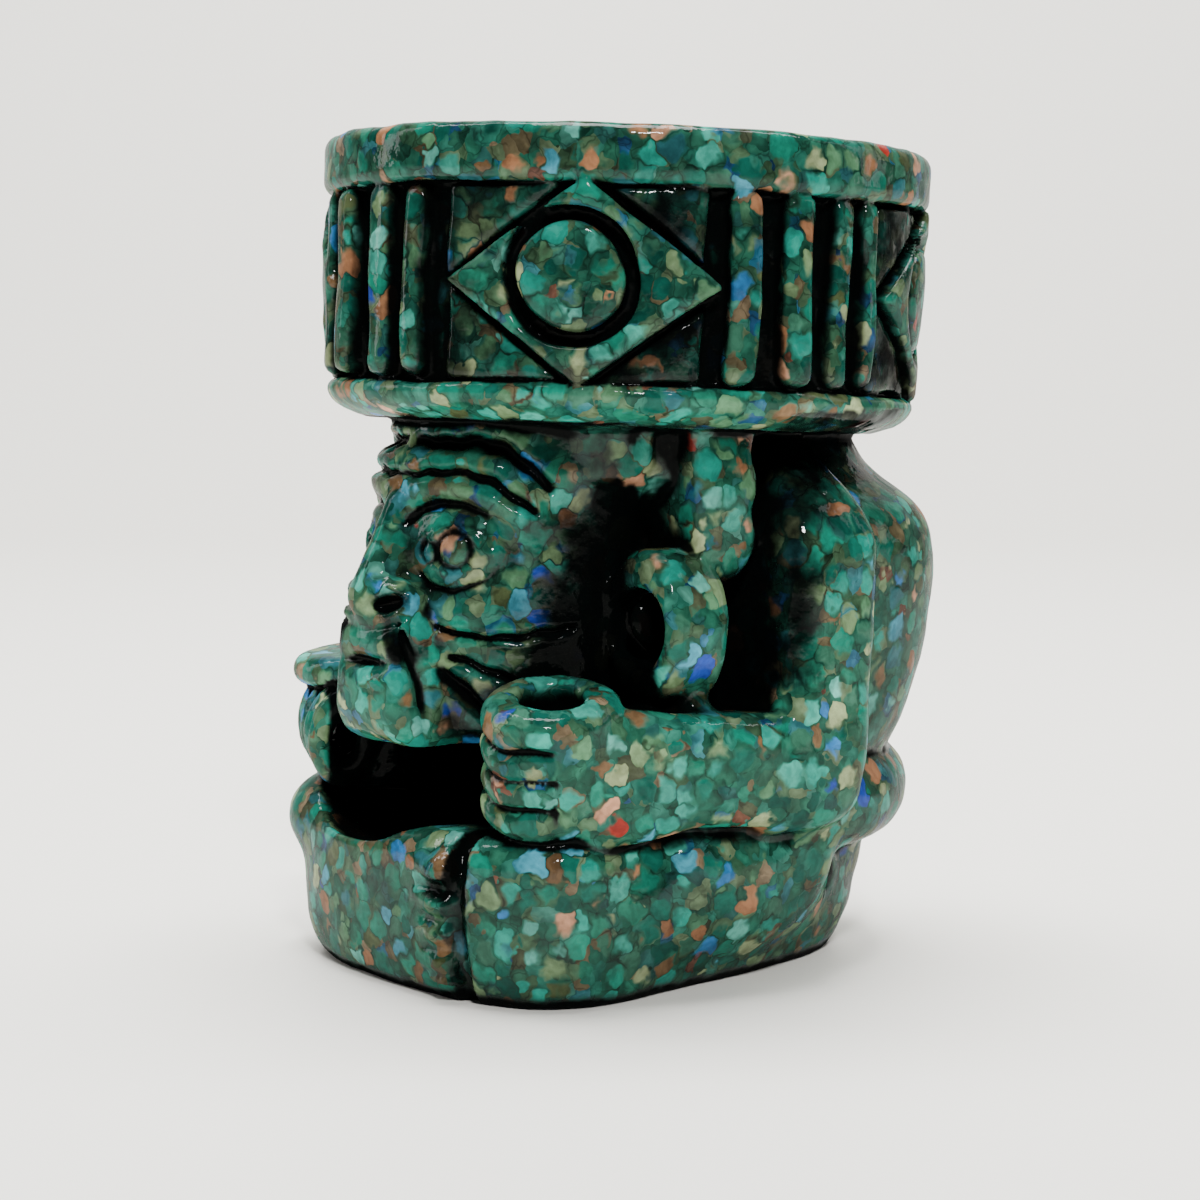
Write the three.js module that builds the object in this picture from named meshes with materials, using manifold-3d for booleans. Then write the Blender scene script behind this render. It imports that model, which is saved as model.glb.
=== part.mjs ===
// A seated old fire god who carries a round brazier on his head: a small souvenir figure, cast in one
// piece from stone chips and clear resin. Millimetres, +Z up. The face looks along -Y and the figure's
// left is +X. The origin is under the brazier's axis, on the surface that the figure stands on.
import * as THREE from 'three';
import { mergeVertices } from 'three/addons/utils/BufferGeometryUtils.js';
import Module from 'manifold-3d';

// Driving dimensions of the brazier, measured along its own axis before it is tilted.
const rimRadius = 31.2;
const rimTopZ = 83.4;
const rimBandHeight = 5.7;
const recessRadius = 28.7;
const flangeRadius = 30.4;
const flangeTopZ = 58.9;
const flangeHeight = 4.2;
const brazierTilt = 2.5;
const bowlRadius = 26.2;
const bowlDepth = 14;
const roundSides = 28;
const barAngles = [[-23, -11.6, 1.4, 10.8], [75.2, 86.2, 96.8, 105.2], [165, 175, 185, 195],
  [255, 265, 275, 285]];
const barWidth = 2.8;
const barFaceRadius = 30.9;
const panelAngles = [45, 135, 225, 315];
const panelHalfWidth = 12.6;
const panelShift = -0.8;
const panelFaceRadius = 30;
const rhombusHalfWidth = 12.9;
const rhombusFaceRadius = 31;
const panelGroove = 0.7;
const ringGrooveRadius = 5.95;
const ringGrooveWidth = 1.4;
const ringShift = [-0.7, 0.6];

// Driving dimensions of the head.
const headCentreY = -13;
const chinZ = 24;
const crownZ = 57;
const muzzleHalfWidth = 6.1;
const muzzleFrontY = -32.6;
const mouthZ = 32.4;
const noseTipY = -33.3;
const noseTipZ = 37.6;
const eyeX = 8;
const eyeZ = 43.8;
const spoolX = 19.4;
const spoolZ = 36.2;
const spoolFrontY = -13;
const spoolDepth = 7.3;
const lappetOuterX = 23.6;
const lappetBottomZ = 39.8;

// Driving dimensions of the body.
const backY = 31.9;
const torsoFrontY = -2.2;
const torsoHalfWidth = 25.4;
const armOuterX = 28.8;
const elbowY = 10.2;
const forearmBottomZ = 15.6;
const forearmTopZ = 27.7;
const leftFistX = 17.6;
const fistY = -21.9;
const fistRadius = 6.7;
const fistBottomZ = 17.5;
const leftFistTopZ = 30.6;
const fistHoleRadius = 3;
const fistHoleDepth = 8;
const fistLean = 13;
const fistTip = 9;
const handBack = { x: -17, y: -22.2, radius: 6.6, bottomZ: 28, topZ: 31.7 };
const palm = { x: -15, y: -20, radius: 5.4 };
const curlMiddle = [-12.5, -26.6, 23];
const curlTurn = 21;
const curlRise = 12;
const curlRadius = 2.5;
const curlHeightRatio = 1.43;
const fingerPitch = 2.1;
const fingerRadius = 1.25;
const fingerCount = 4;
const curlHoleDepth = 5;
const legTopZ = 16.6;
const kneeSpread = 3.2;
const lapFloorZ = 10.5;
const lapHalfWidth = 11.5;
const rollZ = 17.3;
const rollRadius = 5.3;

const wasm = await Module();
wasm.setup();

const radians = THREE.MathUtils.degToRad;

// Blends between the values of a list of [position, value] pairs, straight from pair to pair.
function along(pairs, position) {
  if (position <= pairs[0][0]) return pairs[0][1];
  for (let i = 1; i < pairs.length; i += 1) {
    const [end, value] = pairs[i];
    const [start, before] = pairs[i - 1];
    if (position <= end) return before + (value - before) * (position - start) / (end - start);
  }
  return pairs[pairs.length - 1][1];
}

// A bump of height 1 at its centre that dies away over the given width.
function bump(offset, width) {
  return Math.exp(-((offset / width) ** 2));
}

// Turns a closed geometry into a solid. A geometry whose faces point inwards is turned round first.
function solidOf(geometry) {
  const bare = geometry.clone();
  bare.deleteAttribute('normal');
  bare.deleteAttribute('uv');
  const merged = mergeVertices(bare, 1e-3);
  const place = merged.getAttribute('position');
  const corners = [];
  let volume = 0;
  const [a, b, c] = [new THREE.Vector3(), new THREE.Vector3(), new THREE.Vector3()];
  for (let i = 0; i < merged.index.count; i += 3) {
    const face = [0, 1, 2].map((k) => merged.index.getX(i + k));
    if (face[0] === face[1] || face[1] === face[2] || face[2] === face[0]) continue;
    corners.push(...face);
    a.fromBufferAttribute(place, face[0]);
    b.fromBufferAttribute(place, face[1]);
    c.fromBufferAttribute(place, face[2]);
    volume += a.dot(b.cross(c));
  }
  if (volume < 0) corners.reverse();
  return new wasm.Manifold(new wasm.Mesh({
    numProp: 3,
    vertProperties: Float32Array.from(place.array),
    triVerts: Uint32Array.from(corners),
  }));
}

// A closed surface through a row of rings with equal numbers of points, with a flat fan on each end.
function loft(rings) {
  const count = rings[0].length;
  const points = rings.flat();
  const faces = [];
  for (let row = 0; row + 1 < rings.length; row += 1) {
    for (let i = 0; i < count; i += 1) {
      const next = (i + 1) % count;
      const [low, lowNext] = [row * count + i, row * count + next];
      const [high, highNext] = [low + count, lowNext + count];
      faces.push(low, lowNext, highNext, low, highNext, high);
    }
  }
  const caps = [[0, rings[0]], [(rings.length - 1) * count, rings[rings.length - 1]]];
  caps.forEach(([first, ring], end) => {
    const middle = ring.reduce((sum, p) => sum.add(p), new THREE.Vector3()).divideScalar(count);
    const hub = points.push(middle) - 1;
    for (let i = 0; i < count; i += 1) {
      const next = (i + 1) % count;
      if (end === 0) faces.push(hub, first + next, first + i);
      else faces.push(hub, first + i, first + next);
    }
  });
  const geometry = new THREE.BufferGeometry().setFromPoints(points);
  geometry.setIndex(faces);
  return geometry;
}

// A rounded outline between two pairs of limits: fullness 2 is an ellipse, more is squarer.
function roundedRing(low, high, fullness, sides, place) {
  const [middleU, middleV] = [(low[0] + high[0]) / 2, (low[1] + high[1]) / 2];
  const [halfU, halfV] = [(high[0] - low[0]) / 2, (high[1] - low[1]) / 2];
  const ring = [];
  for (let i = 0; i < sides; i += 1) {
    const turn = 2 * Math.PI * (i + 0.5) / sides;
    const [c, s] = [Math.cos(turn), Math.sin(turn)];
    const reach = (Math.abs(c) ** fullness + Math.abs(s) ** fullness) ** (-1 / fullness);
    ring.push(place(middleU + halfU * c * reach, middleV + halfV * s * reach));
  }
  return ring;
}

// A round bar along a smooth curve, for grooves, ridges and rolls.
function rod(points, radius, steps, sides = 6) {
  const circle = new THREE.EllipseCurve(0, 0, radius, radius).getPoints(sides);
  const section = new THREE.Shape(circle.slice(0, -1));
  const path = new THREE.CatmullRomCurve3(points);
  return solidOf(new THREE.ExtrudeGeometry(section, { steps, extrudePath: path, bevelEnabled: false }));
}

// An ellipsoid with its own half sizes.
function pebble(centre, halfSizes, sides) {
  return solidOf(new THREE.SphereGeometry(1, sides, 4).scale(...halfSizes).translate(...centre));
}

function union(solids) {
  return solids.reduce((sum, next) => sum.add(next));
}

// A closed ring of revolution about the vertical axis. The profile is a row of [radius, height].
function turned(profile, sides) {
  return new THREE.LatheGeometry(profile.map(([r, z]) => new THREE.Vector2(r, z)), sides)
    .rotateX(Math.PI / 2);
}

// Brazier: rim band, recessed wall and flange in one profile, with a round bowl from above.
const recessTopZ = rimTopZ - rimBandHeight;
const flangeBottomZ = flangeTopZ - flangeHeight;

function brazierBody() {
  const bowlFloorZ = rimTopZ - bowlDepth;
  return solidOf(turned([
    [0, flangeBottomZ],
    [flangeRadius - 5, flangeBottomZ],
    [flangeRadius - 1.6, flangeBottomZ + 1.4],
    [flangeRadius - 0.2, flangeBottomZ + 2.9],
    [flangeRadius, flangeTopZ - 0.8],
    [flangeRadius - 0.7, flangeTopZ],
    [recessRadius - 0.2, flangeTopZ],
    [recessRadius + 0.2, recessTopZ],
    [rimRadius - 0.3, recessTopZ],
    [rimRadius, rimTopZ - 1.2],
    [rimRadius - 1.2, rimTopZ],
    [bowlRadius + 0.6, rimTopZ],
    [bowlRadius - 1.2, bowlFloorZ + 7],
    [bowlRadius - 7, bowlFloorZ + 1.4],
    [0, bowlFloorZ],
  ], roundSides));
}

// Turns a flat outline in (sideways, height) into a prism that points out of the wall.
function wallPrism(shape, centreAngle) {
  const geometry = new THREE.ExtrudeGeometry(shape, { depth: 14, bevelEnabled: false, curveSegments: 5 });
  geometry.rotateX(Math.PI / 2);
  geometry.translate(0, -20, (flangeTopZ + recessTopZ) / 2);
  geometry.rotateZ(radians(centreAngle));
  return solidOf(geometry);
}

// A thin shell round the wall, from inside it out to the given radius, a little narrower at the foot.
function wallShell(radius) {
  const [low, high] = [flangeTopZ - 0.6, recessTopZ + 0.6];
  const inner = recessRadius - 1.5;
  const profile = [[inner, low], [radius - 0.6, low], [radius + 0.2, high], [inner, high], [inner, low]];
  return solidOf(turned(profile, roundSides));
}

function polygon(points) {
  return new THREE.Shape(points.map(([u, v]) => new THREE.Vector2(u, v)));
}

// A rhombus about the middle of a panel.
function rhombusShape(halfWidth, halfHeight) {
  return polygon([[0, -halfHeight], [halfWidth, 0], [0, halfHeight], [-halfWidth, 0]]);
}

// One carved panel: a low field with a raised rhombus on it and a disc in a ring groove.
function panel(centreAngle) {
  const halfHeight = (recessTopZ - flangeTopZ) / 2 + 0.3;
  const [left, right] = [panelShift - panelHalfWidth, panelShift + panelHalfWidth];
  const lower = [[left, -halfHeight], [right, -halfHeight]];
  const outline = polygon([...lower, [right, halfHeight], [left, halfHeight]]);
  const grow = panelGroove * Math.hypot(rhombusHalfWidth, halfHeight);
  const gap = rhombusShape(rhombusHalfWidth + grow / halfHeight, halfHeight + grow / rhombusHalfWidth);
  const rhombus = rhombusShape(rhombusHalfWidth, halfHeight);
  const [outer, inner] = [0.5, -0.5].map((share) => ringGrooveRadius + share * ringGrooveWidth);
  const ring = new THREE.Shape().absarc(...ringShift, outer, 0, 2 * Math.PI);
  const disc = new THREE.Shape().absarc(...ringShift, inner, 0, 2 * Math.PI);
  const corners = wallShell(panelFaceRadius)
    .intersect(wallPrism(outline, centreAngle))
    .subtract(wallPrism(gap, centreAngle));
  const plate = wallShell(rhombusFaceRadius)
    .intersect(wallPrism(rhombus, centreAngle).subtract(wallPrism(ring, centreAngle)));
  const boss = wallShell(rhombusFaceRadius).intersect(wallPrism(disc, centreAngle));
  return union([corners, plate, boss]);
}

// One upright bar with a rounded face, let into the rim band and the flange.
function bar(angle) {
  const half = barWidth / 2;
  const depth = barFaceRadius - recessRadius + 1;
  const section = polygon([[-half, 0], [half, 0], [half - 0.4, depth], [0.4 - half, depth]]);
  const height = recessTopZ - flangeTopZ + 1.2;
  const geometry = new THREE.ExtrudeGeometry(section, { depth: height, bevelEnabled: false });
  geometry.rotateX(Math.PI);
  geometry.translate(0, -(recessRadius - 1), flangeTopZ - 0.6 + height);
  geometry.rotateZ(radians(angle));
  return solidOf(geometry);
}

function brazier() {
  const parts = [brazierBody(), ...panelAngles.map(panel), ...barAngles.flat().map(bar)];
  const level = new THREE.Vector3(0, 0, (rimTopZ + flangeBottomZ) / 2);
  return union(parts).translate(level.clone().negate()).rotate([-brazierTilt, 0, 0]).translate(level);
}

// Head: its level sections are ellipses about headCentreY, and the features are added to the radius.
const headHalfWidth = [[24, 11.6], [25.5, 13], [30, 14], [36, 14.5], [47, 14.4], [54, 14], [57, 13.4]];
const headHalfDepth = [[24, 12.6], [25.5, 14], [30, 14.8], [36, 15.6], [43.5, 15.6], [46.5, 15.6],
  [49.6, 14.5], [51.6, 14.9], [53.2, 13.4], [54.3, 13.6], [55.4, 12.4], [57, 12.2]];

function headReach(angle, z) {
  const [s, c] = [Math.sin(angle), Math.cos(angle)];
  const skull = 1 / Math.hypot(s / along(headHalfWidth, z), c / along(headHalfDepth, z));
  if (c <= 0) return skull;
  const side = Math.abs(skull * s);
  const ahead = headCentreY - skull * c;
  const noseWidth = along([[35.6, 3.6], [38, 3.9], [40, 3], [46, 2.2]], z);
  const noseFront = along([[34.6, -29.5], [35.8, -32.2], [noseTipZ, noseTipY], [39.5, -32.2],
    [43.5, -30.2], [46.5, -29.4], [49, -24]], z);
  const nose = Math.max(0, ahead - noseFront) * bump(side, noseWidth);
  const inMouth = 1.4 * bump(z - mouthZ, 1.1) * bump(side, 5.2);
  const lipFront = along([[chinZ, muzzleFrontY + 3.6], [25.6, muzzleFrontY + 0.6], [28, muzzleFrontY],
    [37, muzzleFrontY + 0.6], [39.6, muzzleFrontY + 4], [41.5, muzzleFrontY + 9]], z) + inMouth;
  const muzzle = Math.max(0, ahead - lipFront) * Math.exp(-((side / muzzleHalfWidth) ** 6));
  const socket = 1.1 * bump(side - eyeX, 4.2) * bump(z - eyeZ, 3.6);
  return skull + Math.max(nose, muzzle) - socket;
}

function headPoint(angle, z, lift = 0) {
  const reach = headReach(angle, z) + lift;
  return new THREE.Vector3(reach * Math.sin(angle), headCentreY - reach * Math.cos(angle), z);
}

function skullSurface() {
  const sideAngles = [0, 5, 10, 16, 23, 33, 46, 63, 90, 138];
  const angles = [...sideAngles.slice(1).reverse().map((a) => -a), ...sideAngles];
  const heights = [chinZ, 25.6, 28.4, 31, mouthZ, 33.8, 35.6, 36.6, noseTipZ, 39.4, 42, 46, 49, 51.4,
    53, 54.2, 55.2, crownZ];
  return solidOf(loft(heights.map((z) => angles.map((a) => headPoint(radians(a), z)))));
}

// A groove cut in the face along points given as [degrees from the nose, height].
function faceGroove(side, points, width) {
  const path = points.map(([angle, z]) => headPoint(side * radians(angle), z, 0.1));
  return rod(path, width * 0.58, points.length, 3);
}

// Two forehead wrinkles, the fold beside the mouth and three wrinkles in the cheek, on one side.
function faceGrooves(side) {
  const fold = [[3.9, -30, 36], [4.8, -29.2, 33.8], [5.6, -28.7, 30], [6, -28.2, chinZ - 0.6]];
  return union([
    faceGroove(side, [[4, 50.8], [16, 51], [30, 51], [44, 50], [58, 47.6]], 1.6),
    faceGroove(side, [[6, 54], [22, 53.8], [38, 54], [50, 53.1], [62, 50.8]], 2.1),
    rod(fold.map(([x, y, z]) => new THREE.Vector3(side * x, y, z)), 1, 4, 5),
    faceGroove(side, [[26, 35.7], [44, 35.4], [70, 36.2]], 1.5),
    faceGroove(side, [[30, 33.2], [42, 32.1], [54, 30.8]], 1.5),
    faceGroove(side, [[23, 31.2], [32, 29.4], [43, 27]], 2.1),
  ]);
}

// The eye: an oval ring of lids round a ball with a small raised pupil.
function eyeFrame(side) {
  const angle = side * Math.atan2(eyeX, 13);
  const centre = headPoint(angle, eyeZ);
  const facing = new THREE.Vector3(Math.sin(angle * 0.86), -Math.cos(angle * 0.86), 0.05);
  const up = new THREE.Vector3(0, 0, 1);
  return new THREE.Matrix4().lookAt(facing, new THREE.Vector3(), up).setPosition(centre);
}

function eyeGroove(side) {
  const ring = new THREE.TorusGeometry(3.6, 0.75, 4, 10);
  ring.scale(1.2, 0.95, 1).translate(0, 0, 0.3);
  return solidOf(ring.applyMatrix4(eyeFrame(side)));
}

function eyeBall(side) {
  const ball = new THREE.SphereGeometry(1, 10, 4);
  ball.scale(3.5, 2.8, 1.5).translate(0, 0, -0.3);
  const pupil = new THREE.SphereGeometry(1, 6, 4);
  pupil.scale(1.1, 1.1, 0.8).translate(0.3, 0, 1);
  return union([ball, pupil].map((piece) => solidOf(piece.applyMatrix4(eyeFrame(side)))));
}

// The broad head dress above the temples, which carries the brazier.
function headDress() {
  const sizes = [[45.5, 13.2, 12.6], [48, 17, 15.6], [50.6, 19.6, 17.6], [crownZ, 20.4, 17.8]];
  const rings = sizes.map(([z, halfWidth, halfDepth]) => roundedRing([-halfWidth, -5 - halfDepth],
    [halfWidth, -5 + halfDepth], 2, 16, (x, y) => new THREE.Vector3(x, y, z)));
  return solidOf(loft(rings));
}

// An ear spool: a thick oval ring that faces forwards, with a thin tongue standing in its hole.
function earSpool(side) {
  const profile = [[0, 3], [0.53, 3], [0.6, 0.2], [0.84, 0], [1, 1.3], [1, 6.2], [0.86, spoolDepth],
    [0, spoolDepth]];
  const ring = new THREE.LatheGeometry(profile.map(([r, y]) => new THREE.Vector2(r * 7.6, y)), 12);
  ring.scale(0.78, 1, 1).translate(side * spoolX, spoolFrontY, spoolZ);
  const tongue = pebble([side * (spoolX - 1.2), spoolFrontY + 2.8, spoolZ + 0.3], [1.1, 2.6, 2.5], 6);
  const bridge = pebble([side * (spoolX + 1.5), spoolFrontY + 4, spoolZ - 8], [2.6, 2.6, 2], 6);
  const root = pebble([side * (spoolX - 4), spoolFrontY + 6, spoolZ + 1], [4.5, 4, 6], 6);
  return union([solidOf(ring), tongue, bridge, root]);
}

// A lappet of the head dress that hangs behind the ear spool and ends in a rounded tip.
function lappet(side) {
  const sections = [[lappetBottomZ, -5.6, -3.2, 2.4], [lappetBottomZ + 1, -7, -2, 1], [43, -7.9, -1.2, 0.1],
    [49, -8.2, -0.8, 0], [56.5, -8.3, -0.6, 0.6]];
  const rings = sections.map(([z, front, rear, inset]) => roundedRing([15, front],
    [lappetOuterX - inset, rear], 4, 10, (x, y) => new THREE.Vector3(side * x, y, z)));
  return solidOf(loft(rings));
}

// Torso: each row is height, back, front and half width.
function torso() {
  const sections = [
    [9, 22.4, torsoFrontY, 15],
    [16, 24.6, torsoFrontY, 19],
    [23, 27, torsoFrontY, 23.4],
    [26, 28.4, torsoFrontY, torsoHalfWidth - 1],
    [33, backY - 0.6, torsoFrontY, torsoHalfWidth],
    [40, backY, torsoFrontY, torsoHalfWidth + 0.6],
    [45, backY - 0.6, torsoFrontY, torsoHalfWidth + 0.6],
    [47.8, backY - 2.4, torsoFrontY, torsoHalfWidth - 1.6],
    [50.4, backY - 6.6, torsoFrontY, torsoHalfWidth - 6],
    [crownZ, backY - 9.6, torsoFrontY, 16.5],
  ];
  const middleY = 5;
  const rings = sections.map(([z, back, front, halfWidth]) => {
    const place = (x, y) => new THREE.Vector3(x, y > 0 ? middleY + y * (back - middleY)
      : middleY + y * (middleY - front), z);
    return roundedRing([-halfWidth, -1], [halfWidth, 1], 2.6, 18, place);
  });
  return solidOf(loft(rings));
}

// The roll of the loin cloth, a thick bead round the small of the back.
function waistRoll() {
  const points = [-78, -52, -26, 0, 26, 52, 78].map((turn) => {
    const angle = radians(turn);
    return new THREE.Vector3(21 * Math.sin(angle), 2.6 + 23.2 * Math.cos(angle), rollZ);
  });
  return rod(points, rollRadius, 9, 8);
}

// Upper arm: each row is height, outer face, inner face, front and back.
function upperArm(side) {
  const sections = [
    [forearmBottomZ + 0.2, armOuterX - 3.4, 15, -3, elbowY - 4],
    [forearmBottomZ + 2, armOuterX - 0.8, 15, -3, elbowY - 1.6],
    [22, armOuterX, 15, -2.4, elbowY - 0.6],
    [30, armOuterX, 16, 0, elbowY + 0.4],
    [45, armOuterX - 0.4, 16, 0, elbowY + 1.6],
    [47.4, armOuterX - 2, 15, 0.6, elbowY + 1],
    [51, 23.6, 12, 1.2, elbowY - 1],
    [crownZ, 18.6, 8, 2, elbowY - 2],
  ];
  const rings = sections.map(([z, outer, inner, front, back]) => roundedRing([inner, front],
    [outer, back], 4.5, 12, (x, y) => new THREE.Vector3(side * x, y, z)));
  return solidOf(loft(rings));
}

// Forearm: each row is its place from back to front, outer face, inner face, bottom and top.
function forearm(side) {
  const sections = [
    [elbowY - 2, armOuterX - 2.4, 17, forearmBottomZ + 2.4, forearmTopZ - 2],
    [elbowY - 5, armOuterX - 0.2, 16, forearmBottomZ + 0.2, forearmTopZ],
    [-5, armOuterX - 0.6, 14.5, forearmBottomZ + 0.8, forearmTopZ],
    [-12, armOuterX - 2.2, 13.2, forearmBottomZ + 0.8, forearmTopZ + 0.4],
    [-18, 24.8, 12.8, forearmBottomZ, forearmTopZ + 1.2],
    [-22, 22.8, 13.4, forearmBottomZ + 1.2, forearmTopZ],
  ];
  const rings = sections.map(([y, outer, inner, bottom, top]) => roundedRing([inner, bottom],
    [outer, top], 3.4, 12, (x, z) => new THREE.Vector3(side * x, y, z)));
  return solidOf(loft(rings));
}

// The left fist, closed round an upright hole: a ring of thumb and forefinger over three finger ridges.
function leftFist() {
  const r = fistRadius;
  const height = leftFistTopZ - fistBottomZ;
  const fingerLines = [4.2, 7.2, 10.2];
  const wall = [[r - 2, 0], [r - 0.3, 1.8]];
  fingerLines.forEach((z) => wall.push([r - 0.8, z], [r - 0.1, z + 1.5]));
  wall.push([r - 0.2, height - 1.2], [r - 1.8, height]);
  const hole = [[fistHoleRadius, height - 0.3], [fistHoleRadius, height - fistHoleDepth],
    [0, height - fistHoleDepth]];
  const geometry = turned([[0, 0], ...wall, ...hole], 11);
  geometry.scale(0.95, 1.05, 1).translate(0, 0, -height / 2);
  geometry.rotateX(radians(fistTip)).rotateY(radians(fistLean));
  geometry.translate(leftFistX, fistY, (leftFistTopZ + fistBottomZ) / 2);
  return solidOf(geometry);
}

// A short upright cylinder with a chamfered rim at both ends.
function puck({ x, y, radius, bottomZ, topZ }, chamfer, sides) {
  const wall = [[radius - chamfer, bottomZ], [radius, bottomZ + chamfer], [radius, topZ - chamfer],
    [radius - chamfer, topZ]];
  return solidOf(turned([[0, bottomZ], ...wall, [0, topZ]], sides).translate(x, y, 0));
}

// The right hand, closed on top: its back is a disc on a palm, and four fingers curl round a level hole.
function rightHand() {
  const [turn, rise] = [radians(curlTurn), radians(curlRise)];
  const level = new THREE.Vector3(Math.sin(turn), Math.cos(turn), 0);
  const outward = new THREE.Vector3(-Math.cos(turn), Math.sin(turn), 0).multiplyScalar(Math.cos(rise));
  const axis = outward.setZ(Math.sin(rise));
  const tall = new THREE.Vector3().crossVectors(level, axis);
  const [inner, outer] = [curlRadius - fingerRadius, curlRadius + fingerRadius];
  const ribs = [];
  for (let i = 0; i < fingerCount; i += 1) {
    ribs.push([outer, i * fingerPitch], [outer - 0.5, (i + 0.5) * fingerPitch]);
  }
  const hole = [[0, curlHoleDepth], [inner, curlHoleDepth], [inner, 0], [curlRadius, -fingerRadius]];
  const curled = turned([...hole, ...ribs, [0, fingerCount * fingerPitch]], 10);
  curled.scale(1, curlHeightRatio, 1);
  const frame = new THREE.Matrix4().makeBasis(level, tall, axis);
  curled.applyMatrix4(frame.setPosition(new THREE.Vector3(...curlMiddle)));
  const inside = puck({ ...palm, bottomZ: fistBottomZ, topZ: handBack.bottomZ + 1 }, 1.2, 8);
  return union([puck(handBack, 1.2, 11), inside, solidOf(curled)]);
}

// Crossed legs: the outline where they stand, which spreads above the foot line.
const standOutline = [[0, -28], [9, -27.8], [15.5, -26], [20, -22.6], [20.8, -17], [18.8, -8], [17.6, 0],
  [16, 11.6], [11.8, 19.6], [0, 22.2], [-11.8, 19.6], [-16, 11.6], [-17.6, 0], [-19.4, -8], [-21.6, -17],
  [-21, -22.2], [-16.2, -25.8], [-9, -27.6]];

function crossedLegs() {
  const corners = standOutline.map(([x, y]) => new THREE.Vector3(x, y, 0));
  const curve = new THREE.CatmullRomCurve3(corners, true, 'centripetal');
  const outline = curve.getSpacedPoints(24).slice(0, -1);
  const spreadByHeight = [[0, 0.8], [1.2, 1.9], [4, kneeSpread - 0.3], [9, kneeSpread],
    [14, kneeSpread - 0.1], [15.6, 2.2], [legTopZ, -0.4]];
  const centre = new THREE.Vector3(0, -4, 0);
  const rings = spreadByHeight.map(([z, spread]) => outline.map((p) => {
    const lessAtBack = 0.9 * bump(z - 1.5, 3) * THREE.MathUtils.clamp((p.y - 2) / 10, 0, 1);
    const away = p.clone().sub(centre).setLength(spread - lessAtBack);
    return p.clone().add(away).setZ(z);
  }));
  return solidOf(loft(rings));
}

// The swell of the thighs and buttocks, and of the right knee, which lies higher than the left.
function legSwells() {
  const rightKnee = pebble([-17.8, -19.8, 14], [8.6, 9.2, 5.8], 10);
  const pairs = [1, -1].flatMap((side) => [
    pebble([side * 13.8, -4.5, 9.8], [11.2, 19, 9.2], 10),
    pebble([side * 8, 14.7, 12.4], [8.6, 8.9, 7.6], 8),
  ]);
  return union([rightKnee, ...pairs]);
}

// The hollow of the lap, under the chin and between the fists, and the dip in the shins before it.
function lapHollow() {
  const sections = [[lapFloorZ, 0.75, 3], [lapFloorZ + 2.5, 0.95, 0.8], [legTopZ + 1, 1.02, 0]];
  const rings = sections.map(([z, scale, inset]) => roundedRing([-lapHalfWidth * scale, -23.4 + inset],
    [lapHalfWidth * scale, 4], 3.4, 16, (x, y) => new THREE.Vector3(x, y, z)));
  const dip = pebble([-4.5, -25, 22.5], [13.5, 9.5, 10.4], 12);
  return solidOf(loft(rings)).add(dip);
}

// Grooves between the legs: beside the toes, and at each hip.
function legGrooves() {
  const front = [[12, -25, legTopZ + 0.6], [12.8, -28.8, 15.2], [13.1, -30.3, 12], [13.3, -30.4, 9],
    [13.2, -29.8, 4], [12.4, -27.6, -0.5]];
  const hip = [[15, 9.6, 18.4], [18.4, 11.2, 16], [19.3, 12.1, 12.6], [18.6, 11.9, 8.4]];
  const asPoints = (list, side) => list.map(([x, y, z]) => new THREE.Vector3(side * x, y, z));
  const hips = [1, -1].map((side) => rod(asPoints(hip, side), 1.05, 4, 5));
  return union([rod(asPoints(front, 1), 1.05, 5, 5), ...hips]);
}

// Four toes of the right foot, one above the other, where the shin ends at the front groove.
function toes() {
  const toeHeights = [13, 9.8, 6.9, 4.2];
  return union(toeHeights.map((z, i) => pebble([9.8, -30.4 + 0.02 * (9.5 - z) ** 2, z],
    [2.8, 1.5, i === 0 ? 1.7 : 1.35], 7)));
}

function figure() {
  const sides = [-1, 1];
  const head = union([skullSurface(), headDress(), ...sides.map(eyeBall)])
    .subtract(union([...sides.map(faceGrooves), ...sides.map(eyeGroove)]));
  const base = crossedLegs().add(legSwells()).subtract(legGrooves()).add(toes());
  const body = union([base, torso(), waistRoll()]).subtract(lapHollow());
  const limbs = sides.flatMap((side) => [upperArm(side), forearm(side), earSpool(side), lappet(side)]);
  return union([body, head, ...limbs, leftFist(), rightHand(), brazier()]);
}

function geometryOf(solid) {
  const { vertProperties, triVerts } = solid.getMesh();
  const geometry = new THREE.BufferGeometry();
  geometry.setAttribute('position', new THREE.BufferAttribute(vertProperties, 3));
  geometry.setIndex(new THREE.BufferAttribute(triVerts, 1));
  geometry.computeVertexNormals();
  return geometry;
}

const chipsInResin = new THREE.MeshStandardMaterial({ color: 0x2f7f6b, roughness: 0.15, metalness: 0 });
const fireGod = new THREE.Mesh(geometryOf(figure()), chipsInResin);
fireGod.name = 'fire_god_figure';

const part = new THREE.Group();
part.name = 'stone_fire_god';
part.add(fireGod);

export default part;
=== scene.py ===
import math

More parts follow.
